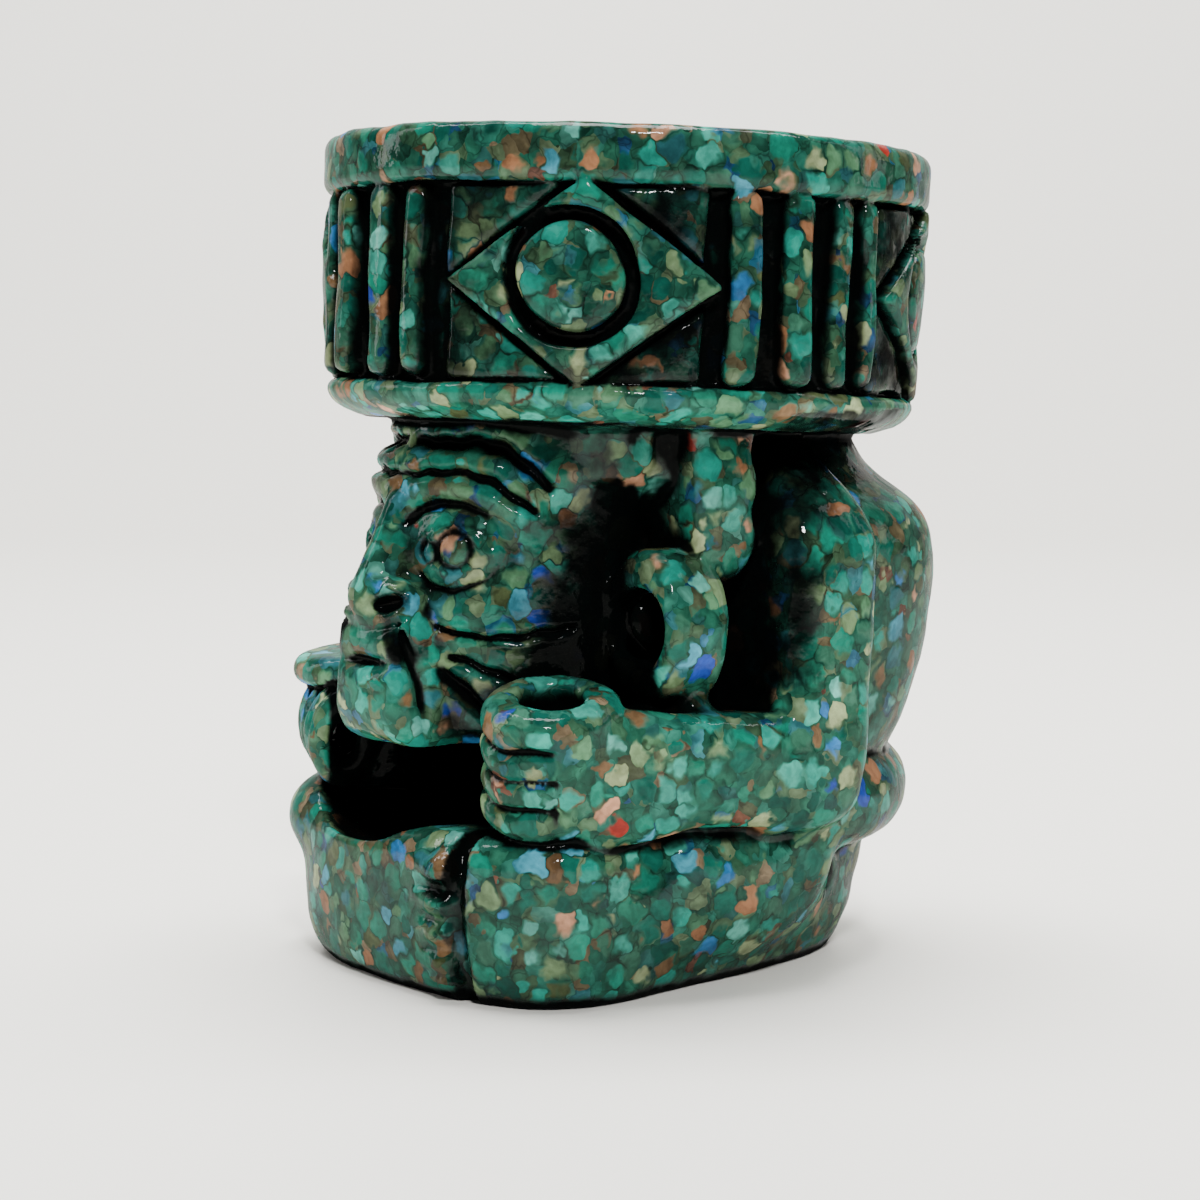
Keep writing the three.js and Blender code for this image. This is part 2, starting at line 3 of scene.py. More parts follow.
import bpy
import numpy as np
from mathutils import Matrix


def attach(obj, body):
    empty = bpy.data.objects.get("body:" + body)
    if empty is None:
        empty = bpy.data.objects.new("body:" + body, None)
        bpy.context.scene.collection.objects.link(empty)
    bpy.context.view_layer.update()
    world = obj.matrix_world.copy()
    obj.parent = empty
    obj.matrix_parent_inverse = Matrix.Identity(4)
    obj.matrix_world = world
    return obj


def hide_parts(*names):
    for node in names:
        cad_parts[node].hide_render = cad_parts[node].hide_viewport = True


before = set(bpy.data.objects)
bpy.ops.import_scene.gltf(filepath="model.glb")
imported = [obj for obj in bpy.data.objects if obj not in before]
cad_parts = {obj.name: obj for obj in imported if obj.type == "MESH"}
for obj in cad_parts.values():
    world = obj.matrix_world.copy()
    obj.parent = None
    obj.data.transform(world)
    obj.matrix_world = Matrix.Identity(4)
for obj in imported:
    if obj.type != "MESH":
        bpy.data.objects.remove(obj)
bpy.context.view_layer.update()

# The casting. The real figure is one piece, poured into a mould, so every form below is worked into one
# field: a lattice of distances to its surface in millimetres, negative inside. Forms are joined on with a
# soft fillet, as in the clay that the mould was taken from, and grooves are pressed in.
STEP = 0.37
LATTICE_LOW = (-33.6, -35.2, -1.3)
LATTICE_HIGH = (33.6, 34.4, 87.0)
axes = [np.arange(low, high, STEP, dtype=np.float32) for low, high in zip(LATTICE_LOW, LATTICE_HIGH)]
field = np.full([len(axis) for axis in axes], 40.0, np.float32)


def window(low, high):
    """The slices of the lattice inside a box, and the X, Y and Z of its points as thin arrays."""
    cuts = tuple(slice(*np.searchsorted(axis, (a, b))) for axis, a, b in zip(axes, low, high))
    return cuts, np.ix_(*(axis[part] for axis, part in zip(axes, cuts)))


def smooth_min(a, b, soft):
    """The lesser of a and b, with a fillet: mix slides from 0 to 1 where they differ by under soft."""
    mix = np.clip(0.5 + 0.5 * (a - b) / soft, 0, 1)
    return a + (b - a) * mix - soft * mix * (1 - mix)


def join(low, high, form, soft=0.8):
    """Joins a form to the casting inside a box: the smooth minimum of the two distances."""
    cuts, (x, y, z) = window(low, high)
    field[cuts] = smooth_min(field[cuts], form(x, y, z), soft)


def press(low, high, form, soft=0.4):
    """Presses a form out of the casting: the smooth maximum of its distance and the form's, reversed."""
    cuts, (x, y, z) = window(low, high)
    field[cuts] = -smooth_min(-field[cuts], form(x, y, z), soft)


def block(u, low_u, high_u, v, low_v, high_v, corner):
    """Distance to a rectangle with round corners: the length past the inner rectangle, less the corner."""
    past_u = np.abs(u - (low_u + high_u) / 2) - (high_u - low_u) / 2 + corner
    past_v = np.abs(v - (low_v + high_v) / 2) - (high_v - low_v) / 2 + corner
    outside = np.hypot(np.maximum(past_u, 0), np.maximum(past_v, 0))
    return outside + np.minimum(np.maximum(past_u, past_v), 0) - corner


SMOOTH_STEPS = 9


def profile(at, places, values):
    """A smooth curve through a table: straight lines between its rows, averaged over a short length."""
    reach = 0.035 * (places[-1] - places[0])
    shifts = np.linspace(-reach, reach, SMOOTH_STEPS)
    return sum(np.interp(at + shift, places, values) for shift in shifts).astype(np.float32) / SMOOTH_STEPS


# The brazier: a thick round bowl with a rim band, a recessed wall carved with rhombus panels and upright
# bars, and a flange below. It was carved by hand before it was cast, so no two bars are quite alike.
RIM_RADIUS = 31.2
RIM_TOP = 83.4
RECESS_TOP = 77.7
RECESS_RADIUS = 28.7
FLANGE_RADIUS = 30.4
FLANGE_TOP = 58.9
FLANGE_BOTTOM = 54.7
BRAZIER_LEAN = math.radians(2.5)
BRAZIER_MIDDLE = (RIM_TOP + FLANGE_BOTTOM) / 2
BOWL_RADIUS = 26.9
BOWL_FLOOR = 69.4
BAR_FACE = 30.9
PANEL_ANGLES = (45, 135, 225, 315)
BARS = [(-23, 2.3), (-11.6, 2.7), (1.4, 3.1), (10.8, 2.7),
        (75.2, 3.2), (86.2, 3.2), (96.8, 2.6), (105.2, 2.3),
        (165, 2.8), (175, 2.6), (185, 3.0), (195, 2.7),
        (255, 2.7), (265, 3.0), (275, 2.6), (285, 2.9)]


def in_brazier(x, y, z):
    """Radius, angle from the front in degrees and height of points, in the brazier's own leaning frame."""
    rise = z - BRAZIER_MIDDLE
    depth = y * math.cos(BRAZIER_LEAN) - rise * math.sin(BRAZIER_LEAN)
    height = BRAZIER_MIDDLE + y * math.sin(BRAZIER_LEAN) + rise * math.cos(BRAZIER_LEAN)
    return np.hypot(x, depth), np.degrees(np.arctan2(x, -depth)), height


def brazier_body(x, y, z):
    """Rim band, wall and flange: three round-cornered rectangles turned about the axis, and the bowl's
    hollow, where (radius / bowl radius)^3.4 + (depth / bowl depth)^3.4 is under 1."""
    radius, angle, height = in_brazier(x, y, z)
    waver = 0.12 * np.sin(np.radians(3 * angle + 40)) + 0.08 * np.sin(np.radians(7 * angle))
    rim = block(radius, -40, RIM_RADIUS + waver, height, RECESS_TOP + waver, RIM_TOP, 1.3)
    wall = block(radius, -40, RECESS_RADIUS + 0.02 * (height - 68), height, 56, 81, 0.1)
    flange = block(radius, -40, FLANGE_RADIUS + waver, height, FLANGE_BOTTOM, FLANGE_TOP - waver, 1.3)
    underside = (FLANGE_BOTTOM + 0.5 * np.maximum(radius - 26, 0) - height) * 0.9
    flange = -smooth_min(-flange, -underside, 1.6)
    solid = smooth_min(smooth_min(rim, wall, 0.3), flange, 0.4)
    bowl_depth = RIM_TOP + 1.2 - BOWL_FLOOR
    hollow = (radius / BOWL_RADIUS) ** 3.4 + (np.maximum(RIM_TOP + 1.2 - height, 0) / bowl_depth) ** 3.4
    return -smooth_min(-solid, (hollow ** (1 / 3.4) - 1) * bowl_depth, 1.4)


def bars(x, y, z):
    """Upright bars: round-cornered rectangles in arc length and radius, with rounded ends."""
    radius, angle, height = in_brazier(x, y, z)
    nearest = np.full(radius.shape, 9.0, np.float32)
    for i, (middle, width) in enumerate(BARS):
        bend = 0.22 * np.sin(0.3 * height + 2.3 * i)
        turn = (angle - middle + 180) % 360 - 180
        across = np.radians(turn) * BAR_FACE + bend
        face = BAR_FACE + 0.3 * math.sin(1.7 * i)
        section = block(across, -width / 2, width / 2, radius, RECESS_RADIUS - 2, face, 0.6)
        ends = np.abs(height - (FLANGE_TOP + RECESS_TOP) / 2 - 0.2) - (RECESS_TOP - FLANGE_TOP) / 2 + 0.1
        nearest = np.minimum(nearest, -smooth_min(-section, -ends, 1.6))
    return nearest


def panels(x, y, z):
    """Carved panels. In arc length u and height w from a panel's middle, the field is |u| < 13.9, and the
    rhombus |u| / 13.4 + |w| / 9.8 < 1 stands higher, with a disc in a ring groove in its middle."""
    radius, angle, height = in_brazier(x, y, z)
    v = height - (FLANGE_TOP + RECESS_TOP) / 2
    nearest = np.full(radius.shape, 9.0, np.float32)
    for i, middle in enumerate(PANEL_ANGLES):
        turn = (angle - middle + 180) % 360 - 180
        u = np.radians(turn) * 30.2 + 0.18 * np.sin(0.6 * v + i)
        w = v + 0.15 * np.sin(0.5 * u + 2 * i)
        rhombus = (np.abs(u - 0.3) / 13.4 + np.abs(w - 0.1) / 9.8 - 1) * 7.9
        ring = np.hypot(u + 0.75, w - 0.6)
        taper = 0.04 * v
        corners = -smooth_min(-block(u, -13.9, 12.2, w, -9.2, 9.2, 0.6), rhombus - 0.65, 0.3)
        corners = -smooth_min(-corners, 29.95 + taper - radius, 0.8)
        plate = -smooth_min(-rhombus, ring - 6.65, 0.35)
        plate = -smooth_min(-plate, 31.0 + taper - radius, 0.6)
        boss = -smooth_min(5.25 - ring, 31.1 + taper - 0.012 * ring ** 2 - radius, 0.9)
        nearest = np.minimum(nearest, np.minimum(corners, np.minimum(plate, boss)))
    return np.maximum(nearest, RECESS_RADIUS - 3 - radius)


brazier_low, brazier_high = (-33.6, -35.2, 52.0), (33.6, 34.4, 87.0)
join(brazier_low, brazier_high, brazier_body)
join(brazier_low, (33.6, 34.4, 81.0), bars, 0.3)
join(brazier_low, (33.6, 34.4, 81.0), panels, 0.2)

# The head: level sections are ellipses about a centre in front of the neck. The old man's face is wide and
# wedge-shaped, with a broad nose, a heavy muzzle, ringed eyes and deep wrinkles pressed into it.
HEAD_Y = -13.0
CHIN = 24.0
CROWN = 57.0
head_heights = (24, 25.5, 30, 36, 43.5, 46.5, 49.6, 51.8, 53.2, 54.3, 55.4, 57)
head_half_widths = (12, 13, 14, 14.5, 14.5, 14.5, 14.4, 14.3, 13.9, 13.9, 13.5, 13.4)
head_half_depths = (13, 14, 14.8, 15.5, 15.6, 15.4, 14.5, 14.9, 13.4, 13.6, 12.4, 12.2)
EYE_ANGLE = 29.4
EYE_HEIGHT = 43.6
FACE_RADIUS = 15.4


def line_distance(u, v, points):
    """Distance in a plane to a line of straight pieces: the least distance to any piece of it."""
    nearest = np.float32(99)
    for (u0, v0), (u1, v1) in zip(points, points[1:]):
        run_u, run_v = u1 - u0, v1 - v0
        share = np.clip(((u - u0) * run_u + (v - v0) * run_v) / (run_u ** 2 + run_v ** 2), 0, 1)
        nearest = np.minimum(nearest, np.hypot(u - u0 - share * run_u, v - v0 - share * run_v))
    return nearest


def swell(offset, width):
    """A bump of height 1 that dies away as exp(-(offset / width)^2)."""
    return np.exp(-((offset / width) ** 2))


wrinkles = [
    # Points as angle from the nose in degrees and height, then width and depth.
    ([(-1, 50.8), (12, 50.9), (24, 51.1), (34, 51.0), (44, 50.1), (53, 48.5), (60, 47.3)], 0.55, 1.1),
    ([(4, 54.0), (22, 53.8), (38, 54.0), (50, 53.1), (59, 51.4), (66, 49.8)], 0.75, 1.6),
    ([(22, 36.1), (34, 35.2), (50, 35.0), (64, 35.5), (76, 35.9)], 0.38, 0.85),
    ([(27, 33.2), (41, 31.9), (54, 30.6)], 0.5, 0.9),
    ([(24, 31.4), (31, 29.8), (43, 26.9)], 0.85, 1.6),
]


lid_creases = [
    # Points as u and v in mm from the middle of the eye, then width and depth at the thicker end.
    ([(-5.8, 2.8), (-4.3, 4.0), (-2.0, 4.5), (0.8, 4.3), (3.4, 3.2)], 0.46, 0.95),
    ([(-4.4, -2.4), (-3.2, -3.5), (-0.2, -4.1), (3.4, -3.0), (4.6, -1.8)], 0.3, 0.6),
]


def eye_lines(u, v):
    """Depth in mm of what is cut into an eye: an upper and a lower crease that fade toward the ear, the
    edge of the lid, a ring round the pupil and a smaller one at the inner corner."""
    depth = 0.3 * swell(np.hypot(u / 3.9, v / 2.5) - 1, 0.12) * (v > 0)
    for points, width, most in lid_creases:
        fade = 0.4 + 0.6 * np.clip((points[-1][0] - u) / 5.0, 0, 1)
        depth = depth + most * fade * swell(line_distance(u, v, points), width * (0.5 + 0.5 * fade))
    depth = depth + 0.5 * swell(np.hypot(u - 0.1, v) - 1.75, 0.42)
    return depth + 0.4 * swell(np.hypot(u + 2.7, v + 0.25) - 1.0, 0.36) * (u < -1.7)


def eye_relief(u, v):
    """Relief of an eye in mm, from u across and v up: a low dome in a socket, less the lines cut into it."""
    q = np.hypot(u / 4.9, v / 4.0)
    return 0.5 * np.clip(1 - q ** 2, 0, 1) - 0.45 * swell(q - 1.05, 0.35) - eye_lines(u, v)


def skull(x, y, z):
    """Radius about the head's centre line less the reach of its ellipse, with the relief added to it."""
    ahead = -(y - HEAD_Y)
    radius = np.hypot(x, ahead)
    side, front = np.abs(x) / np.maximum(radius, 0.1), ahead / np.maximum(radius, 0.1)
    half_width = profile(z, head_heights, head_half_widths)
    half_depth = profile(z, head_heights, head_half_depths)
    reach = 1 / np.hypot(side / half_width, front / half_depth)
    turn = np.degrees(np.arctan2(np.abs(x), ahead))
    across = np.radians(turn) * FACE_RADIUS
    for points, width, depth in wrinkles:
        line = [(math.radians(angle) * FACE_RADIUS, height) for angle, height in points]
        distance = line_distance(across, z + 0.13 * np.sin(1.7 * across + 9 * depth), line)
        from_ends = np.minimum(across - line[0][0] + 3.0 * (points[0][0] < 10), line[-1][0] - across)
        width = width * (0.4 + 0.35 * np.clip(from_ends / 3.0, 0, 1) + 0.25 * np.clip(turn / 45, 0, 1))
        in_front = 0.45 + 0.55 * np.clip(turn / 18, 0, 1)
        lips = 0.2 * swell(distance - 2 * width, width)
        reach = reach - in_front * (depth * swell(distance, width) - lips)
    eye_u = across - math.radians(EYE_ANGLE) * FACE_RADIUS
    reach = reach + eye_relief(eye_u, z - EYE_HEIGHT - 0.03 * eye_u)
    brow = line_distance(across, z, [(2.6, 49.2), (8, 49.5), (12.5, 48.6), (15, 46.6)])
    reach = reach + 0.6 * swell(brow, 1.2)
    reach = reach + 0.5 * swell(across - 9, 4.2) * swell(z - 37.8, 2.2)
    body = (radius - reach) * 0.9
    return -smooth_min(-body, -np.maximum(CHIN - z, z - CROWN), 2.2)


def ball(x, y, z, centre, half_sizes):
    """Rough distance to an ellipsoid: k0 (k0 - 1) / k1, from its scaled and twice scaled lengths."""
    dx, dy, dz = (p - c for p, c in zip((x, y, z), centre))
    hx, hy, hz = half_sizes
    k0 = np.sqrt((dx / hx) ** 2 + (dy / hy) ** 2 + (dz / hz) ** 2)
    k1 = np.sqrt((dx / hx ** 2) ** 2 + (dy / hy ** 2) ** 2 + (dz / hz ** 2) ** 2)
    return k0 * (k0 - 1) / np.maximum(k1, 1e-3)


def stick(x, y, z, start, end, start_radius, end_radius):
    """Distance to a straight stick with round ends, whose radius changes evenly from start to end."""
    run = [b - a for a, b in zip(start, end)]
    length = sum(r * r for r in run)
    dx, dy, dz = x - start[0], y - start[1], z - start[2]
    share = np.clip((dx * run[0] + dy * run[1] + dz * run[2]) / length, 0, 1)
    off = np.sqrt((dx - share * run[0]) ** 2 + (dy - share * run[1]) ** 2 + (dz - share * run[2]) ** 2)
    return off - (start_radius + share * (end_radius - start_radius))


def nose(x, y, z):
    """A ridge that widens from the brow to the tip, with a wide wing on each side of it."""
    ridge = stick(x, y, z, (0, -27.2, 47.5), (0, -30.8, 38.7), 1.8, 2.5)
    wings = ball(np.abs(x), y, z, (2.6, -29.8, 38.4), (2.7, 2.5, 2.4))
    return smooth_min(ridge, wings, 0.8)


def muzzle(x, y, z):
    """The jutting mouth and chin: a round-cornered block whose front steps in at the line of the mouth."""
    front = profile(z, (24, 25.4, 27.5, 31.2, 36.8, 38.6, 40.5),
                    (-29.8, -31.8, -32.7, -32.6, -32.2, -30.6, -28))
    front = front + 0.02 * x ** 2 + 1.3 * swell(z - 32.5, 0.75) * swell(x, 4.0)
    half_width = profile(z, (24, 28, 36, 40), (5.9, 6.3, 5.7, 4.4))
    plan = block(x, -half_width, half_width, y, front, -20 + 0 * z, 1.9)
    return -smooth_min(-plan, -np.maximum(CHIN - z, z - 40), 1.6)


def face_folds(x, y, z):
    """The folds from the wings of the nose down past the corners of the mouth, which narrow downwards, the
    creases round and under the wings, and the nostrils."""
    side = np.abs(x)
    fold = [(4.6, -30.7, 36.2, 0.4), (5.3, -30.5, 34.4, 0.6), (5.8, -30.0, 32.4, 0.65),
            (6.1, -29.2, 30.2, 0.6), (6.3, -28.9, 27.5, 0.55), (6.4, -28.6, 24.6, 0.4)]
    wing = [(0.3, -32.6, 35.7, 0.4), (2.6, -32.3, 35.9, 0.45), (4.3, -31.7, 36.3, 0.5),
            (5.1, -31.0, 37.2, 0.5), (5.5, -30.6, 38.6, 0.45), (4.8, -30.2, 40.0, 0.3)]
    creases = np.float32(99)
    for points in (fold, wing):
        for (*start, start_radius), (*end, end_radius) in zip(points, points[1:]):
            creases = np.minimum(creases, stick(side, y, z, start, end, start_radius, end_radius))
    nostril = ball(side, y, z - 0.25 * (side - 3.9), (3.9, -31.6, 38.5), (2.2, 1.7, 0.95))
    return np.minimum(creases, nostril)


head_low, head_high = (-22.0, -35.0, 22.5), (22.0, 6.0, 57.5)
join(head_low, head_high, skull)
join(head_low, head_high, muzzle, 0.8)
join(head_low, head_high, nose, 1.0)
press((-10, -35, 23), (10, -24, 42), face_folds, 0.5)

# The head dress: a broad cap over the temples that carries the brazier, with a lappet hanging on each side.
dress_heights = (45, 48, 50.6, 57)
dress_half_widths = (12.6, 16.6, 19.4, 20.4)
dress_half_depths = (12.2, 15.2, 17.4, 17.8)


def head_dress(x, y, z):
    """Level ellipses about Y = -5, (hypot(x / half width, y / half depth) - 1) times the half depth."""
    half_width = profile(z, dress_heights, dress_half_widths)
    half_depth = profile(z, dress_heights, dress_half_depths)
    plan = (np.hypot(x / half_width, (y + 5) / half_depth) - 1) * half_depth * 0.85
    return np.maximum(plan, np.maximum(44 - z, z - 58))


def lappets(x, y, z):
    """Upright straps with a wavy rear edge and a rounded foot."""
    side = np.abs(x)
    outer = profile(z, (39.8, 41, 43, 49, 57), (20.6, 22.4, 23.3, 23.7, 23.2))
    rear = -1.0 + 0.35 * np.sin(1.15 * z + 0.6) + np.interp(z, (39.8, 42), (-1.6, 0)).astype(np.float32)
    front = profile(z, (39.8, 42, 57), (-6.2, -7.8, -8.4))
    plan = block(side, 14 + 0 * z, outer, y, front, rear, 1.3)
    return -smooth_min(-plan, -(39.7 - z), 1.6)


def small_strap(x, y, z):
    """A short strap on the cap, just below the brazier."""
    side = np.abs(x)
    return stick(side, y, z, (18.5, -11.2, 56), (18.2, -11.4, 52.2), 0.8, 0.95)


join((-24, -25, 43), (24, 15, 59), head_dress, 1.6)
join((-25, -10, 38), (25, 1, 59), lappets, 0.9)
join((-21, -14, 50), (21, -8, 58), small_strap, 0.5)

# The ear spools: thick oval rings that face forwards, each with a thin tongue standing in its hole.
SPOOL_X = 19.4
SPOOL_Z = 36.2
SPOOL_FRONT = -13.0
SPOOL_BACK = -5.7


def ear_spools(x, y, z):
    """q is the distance from the spool's middle with X stretched by 1 / 0.78. The ring lies between a wide
    hole and q of 7.65, closed at the back by a plate."""
    side = np.abs(x)
    q = np.hypot((side - SPOOL_X) / 0.78, z - SPOOL_Z)
    hole_q = np.hypot((side - SPOOL_X + 0.3) / 1.1, z - SPOOL_Z + 0.2)
    disc = block(q, -7.65, 7.65, y, SPOOL_FRONT, SPOOL_BACK, 1.5)
    hole = block(hole_q, -4.0, 4.0, y, SPOOL_FRONT - 3, SPOOL_FRONT + 3.8, 0.6)
    ring = -smooth_min(-disc, hole, 0.7)
    tongue = ball(side, y, z, (SPOOL_X - 1.2, SPOOL_FRONT + 2.8, SPOOL_Z + 0.3), (1.1, 2.6, 2.5))
    return smooth_min(ring, tongue, 0.4)


def spool_roots(x, y, z):
    """What holds a spool: a lump behind it on the cheek, and a short bridge down to the forearm."""
    side = np.abs(x)
    root = ball(side, y, z, (SPOOL_X - 4.5, SPOOL_FRONT + 7.0, SPOOL_Z + 1), (5, 4.4, 6.5))
    bridge = stick(side, y, z, (SPOOL_X + 2.2, -8.4, 29.6), (SPOOL_X + 2.6, -7.6, 26.5), 1.5, 2.3)
    return smooth_min(root, bridge, 0.5)


join((-28, -15, 26), (28, -2, 46), ear_spools, 0.6)
join((-28, -15, 22), (28, 2, 46), spool_roots, 1.2)

# The trunk: a hunched round back that carries the brazier behind the head, and the roll of the loin
# cloth round the small of the back.
trunk_heights = (9, 16, 23, 26, 33, 40, 45, 47.8, 50.4, 57)
trunk_backs = (22.4, 24.6, 27, 28.6, 31.2, 31.9, 31.3, 29.4, 25.4, 22.2)
trunk_half_widths = (15, 19, 23.4, 24.4, 25.4, 26, 26, 23.9, 19.5, 16.5)
TRUNK_FRONT = -2.2
TRUNK_MIDDLE = 5.0


def trunk(x, y, z):
    """Level superellipses of power 2.6, deeper behind the middle than in front of it."""
    half_width = profile(z, trunk_heights, trunk_half_widths)
    back = profile(z, trunk_heights, trunk_backs)
    half_depth = np.where(y > TRUNK_MIDDLE, back - TRUNK_MIDDLE, TRUNK_MIDDLE - TRUNK_FRONT)
    q = (np.abs(x) / half_width) ** 2.6 + (np.abs(y - TRUNK_MIDDLE) / half_depth) ** 2.6
    plan = (q ** (1 / 2.6) - 1) * np.minimum(half_width, half_depth)
    return np.maximum(plan, np.maximum(8 - z, z - 58))


def waist_roll(x, y, z):
    """A round bead along an ellipse: hypot of the way out from the ellipse and the way up, less 5.1."""
    out = (np.hypot(x / 21.2, (y - 2.6) / 23.4) - 1) * 22.4
    spine_dip = 0.5 * swell(x, 3.0)
    bead = np.hypot(out + spine_dip, z - 17.3) - 5.3
    return np.maximum(bead, 2.5 - y)


join((-28, -4, 7), (28, 33.5, 59), trunk, 1.2)
join((-30, 2, 11), (30, 33.5, 25), waist_roll, 0.9)

# The arms: flat-sided upper arms that come down from under the brazier, and forearms that lie along the
# thighs to the fists.
ARM_OUTER = 28.8
FOREARM_TOP = 27.7
FOREARM_BOTTOM = 15.6


def upper_arms(x, y, z):
    """Upright columns: round-cornered rectangles whose four sides change with the height."""
    side = np.abs(x)
    outer = profile(z, (15.6, 17.6, 22, 44, 48, 51.5, 57), (26.6, 28.4, 28.9, 28.6, 26.6, 23.0, 17.6))
    inner = profile(z, (15, 47, 51, 57), (14, 15, 11, 7))
    front = profile(z, (15.6, 22, 30, 45, 57), (-3, -2.4, -0.2, 0.2, 2))
    back = profile(z, (15.6, 17.6, 22, 30, 40, 45, 48, 51, 57), (7, 9.2, 10, 10.6, 11.4, 11.6, 10.8, 9.4, 8))
    plan = block(side, inner, outer, y, front, back, 3.0)
    return -smooth_min(-plan, -(FOREARM_BOTTOM - z), 2.4)


def forearms(x, y, z):
    """Level limbs: round-cornered rectangles in X and Z whose sides change on the way to the fist."""
    side = np.abs(x)
    outer = profile(y, (-24, -18, -12, -5, 4, 9), (22.4, 24.8, 26.8, 28.3, 28.7, 27.6))
    inner = profile(y, (-24, -18, -5, 9), (13.4, 12.8, 14.5, 17))
    top = profile(y, (-24, -18, -12, -5, 4, 9), (27.6, 29.0, 28.2, FOREARM_TOP, FOREARM_TOP, 26.5))
    bottom = profile(y, (-24, -20, -16, -10, -4, 4, 9), (17, 15.2, 15.6, 17.0, 16.6, FOREARM_BOTTOM, 16.4))
    section = block(side, inner, outer, z, bottom, top, 3.0)
    return -smooth_min(-section, -np.maximum(-22.5 - y, y - 9.4), 2.6)


join((-31, -5, 14), (31, 14, 58.5), upper_arms, 0.9)
join((-31, -25, 13.5), (31, 12, 31), forearms, 0.9)

# The left fist closes round an upright hole, with the ring of the forefinger and thumb on top and three
# fingers stacked below it.
FIST_Y = -21.9
FIST_RADIUS = 6.6
FIST_LEAN = math.radians(13)
FIST_TIP = math.radians(9)


def in_fist(x, y, z, side, top, fist_x):
    """Points in a fist's own frame: X out, Y back, Z up its hole from the middle of its height."""
    out = side * x - fist_x
    back = y - FIST_Y
    up = z - (top + 17.5) / 2
    out, up = (out * math.cos(FIST_LEAN) - up * math.sin(FIST_LEAN),
               out * math.sin(FIST_LEAN) + up * math.cos(FIST_LEAN))
    back, up = (back * math.cos(FIST_TIP) + up * math.sin(FIST_TIP),
                up * math.cos(FIST_TIP) - back * math.sin(FIST_TIP))
    return out, back, up


def fist(side, fist_x, top, first_angle, last_angle, climb, line_depth):
    """A short upright cylinder with a hole from above. Three grooves part the fingers between two angles
    from the front, and an upright crease ends the fingers on the outside."""
    half_height = (top - 17.5) / 2

    def form(x, y, z):
        out, back, up = in_fist(x, y, z, side, top, fist_x)
        radius = np.hypot(out / 0.96, back / 1.04)
        turn = np.degrees(np.arctan2(out, -back))
        middle = (first_angle + last_angle) / 2
        beyond = np.abs(turn - middle) - (last_angle - first_angle) / 2
        fingers = swell(np.clip(beyond, 0, None), 9.0)
        level = up + half_height + climb * (turn - middle) + 0.25 * np.sin(0.09 * turn + 1)
        lines = sum(swell(level - rest, 0.45) for rest in (3.4, 6.4, 9.4))
        crease = swell((turn - 60) * 0.115, 0.5) * swell(np.clip(up + 3.0, -9, 9) / 4.6, 1.0)
        width = FIST_RADIUS - line_depth * lines * fingers - 0.5 * crease + 0.15 * np.sin(0.05 * turn + up)
        body = block(radius, -20, width, up, -half_height, half_height, 1.9)
        hole = block(radius, -3.0, 3.0, up, half_height - 8, half_height + 4, 0.5)
        return -smooth_min(-body, hole, 1.0)
    return form


def fist_hole(side, fist_x, top):
    """The upper end of what the fist held, drilled out: a stick that leans in with the fist."""
    def form(x, y, z):
        start = (side * (fist_x + 1.5), FIST_Y - 1.0, top - 0.4)
        end = (side * (fist_x - 0.1), FIST_Y + 0.1, top - 8)
        return stick(x, y, z, start, end, 2.9, 2.6)
    return form


LEFT_FIST_X = 17.6
LEFT_FIST_TOP = 30.6
left_fist = fist(1, LEFT_FIST_X, LEFT_FIST_TOP, -45, 52, 0.0, 0.7)
join((9, -31.5, 14.5), (27.5, -13, 35), left_fist, 0.7)
press((9, -31.5, 20), (27.5, -13, 35), fist_hole(1, LEFT_FIST_X, LEFT_FIST_TOP), 0.8)

# The crossed legs: a broad low form that the figure stands on. The right shin runs along the front to the
# toes of the right foot, and upright grooves part the legs at the front and at the hips.
stand_outline = [(0, -28), (9, -27.8), (15.5, -26), (20, -22.6), (20.8, -17), (18.8, -8), (17.6, 0),
                 (15.8, 11.4), (11.4, 19.2), (0, 22.0), (-11.4, 19.2), (-15.8, 11.4), (-17.6, 0), (-19.4, -8),
                 (-21.6, -17), (-21, -22.2), (-16.2, -25.8), (-9, -27.6)]
LEG_CENTRE_Y = -4.0
LEG_TOP = 16.6


def outline_reach():
    """Reach of the standing outline by angle, smoothed by a running mean over 16 degrees."""
    corners = np.array(stand_outline) - (0, LEG_CENTRE_Y)
    dense = np.concatenate([a + (b - a) * np.linspace(0, 1, 24)[:, None]
                            for a, b in zip(corners, np.roll(corners, -1, axis=0))])
    angles = np.degrees(np.arctan2(dense[:, 0], -dense[:, 1]))
    order = np.argsort(angles)
    every = np.arange(-180, 180)
    reach = np.interp(every, angles[order], np.hypot(*dense.T)[order], period=360)
    return every, np.mean([np.roll(reach, k) for k in range(-8, 9)], axis=0)


def legs(x, y, z):
    """Radius about the middle of the legs less the outline's reach, which spreads above the foot line."""
    every, reach_by_angle = outline_reach()
    radius = np.hypot(x, y - LEG_CENTRE_Y)
    turn = np.degrees(np.arctan2(x, -(y - LEG_CENTRE_Y)))
    spread = profile(z, (-1, 0, 0.6, 1.6, 4, 9, 14, 15.6, LEG_TOP),
                     (0, 0.8, 1.5, 2.2, 2.9, 3.2, 3.1, 2.7, 2.2))
    spread = spread - 0.9 * swell(z - 1.5, 3.0) * np.clip((np.abs(turn) - 105) / 30, 0, 1)
    plan = (radius - np.interp(turn, every, reach_by_angle, period=360) - spread) * 0.97
    return -smooth_min(-plan, -(z - LEG_TOP), 2.6)


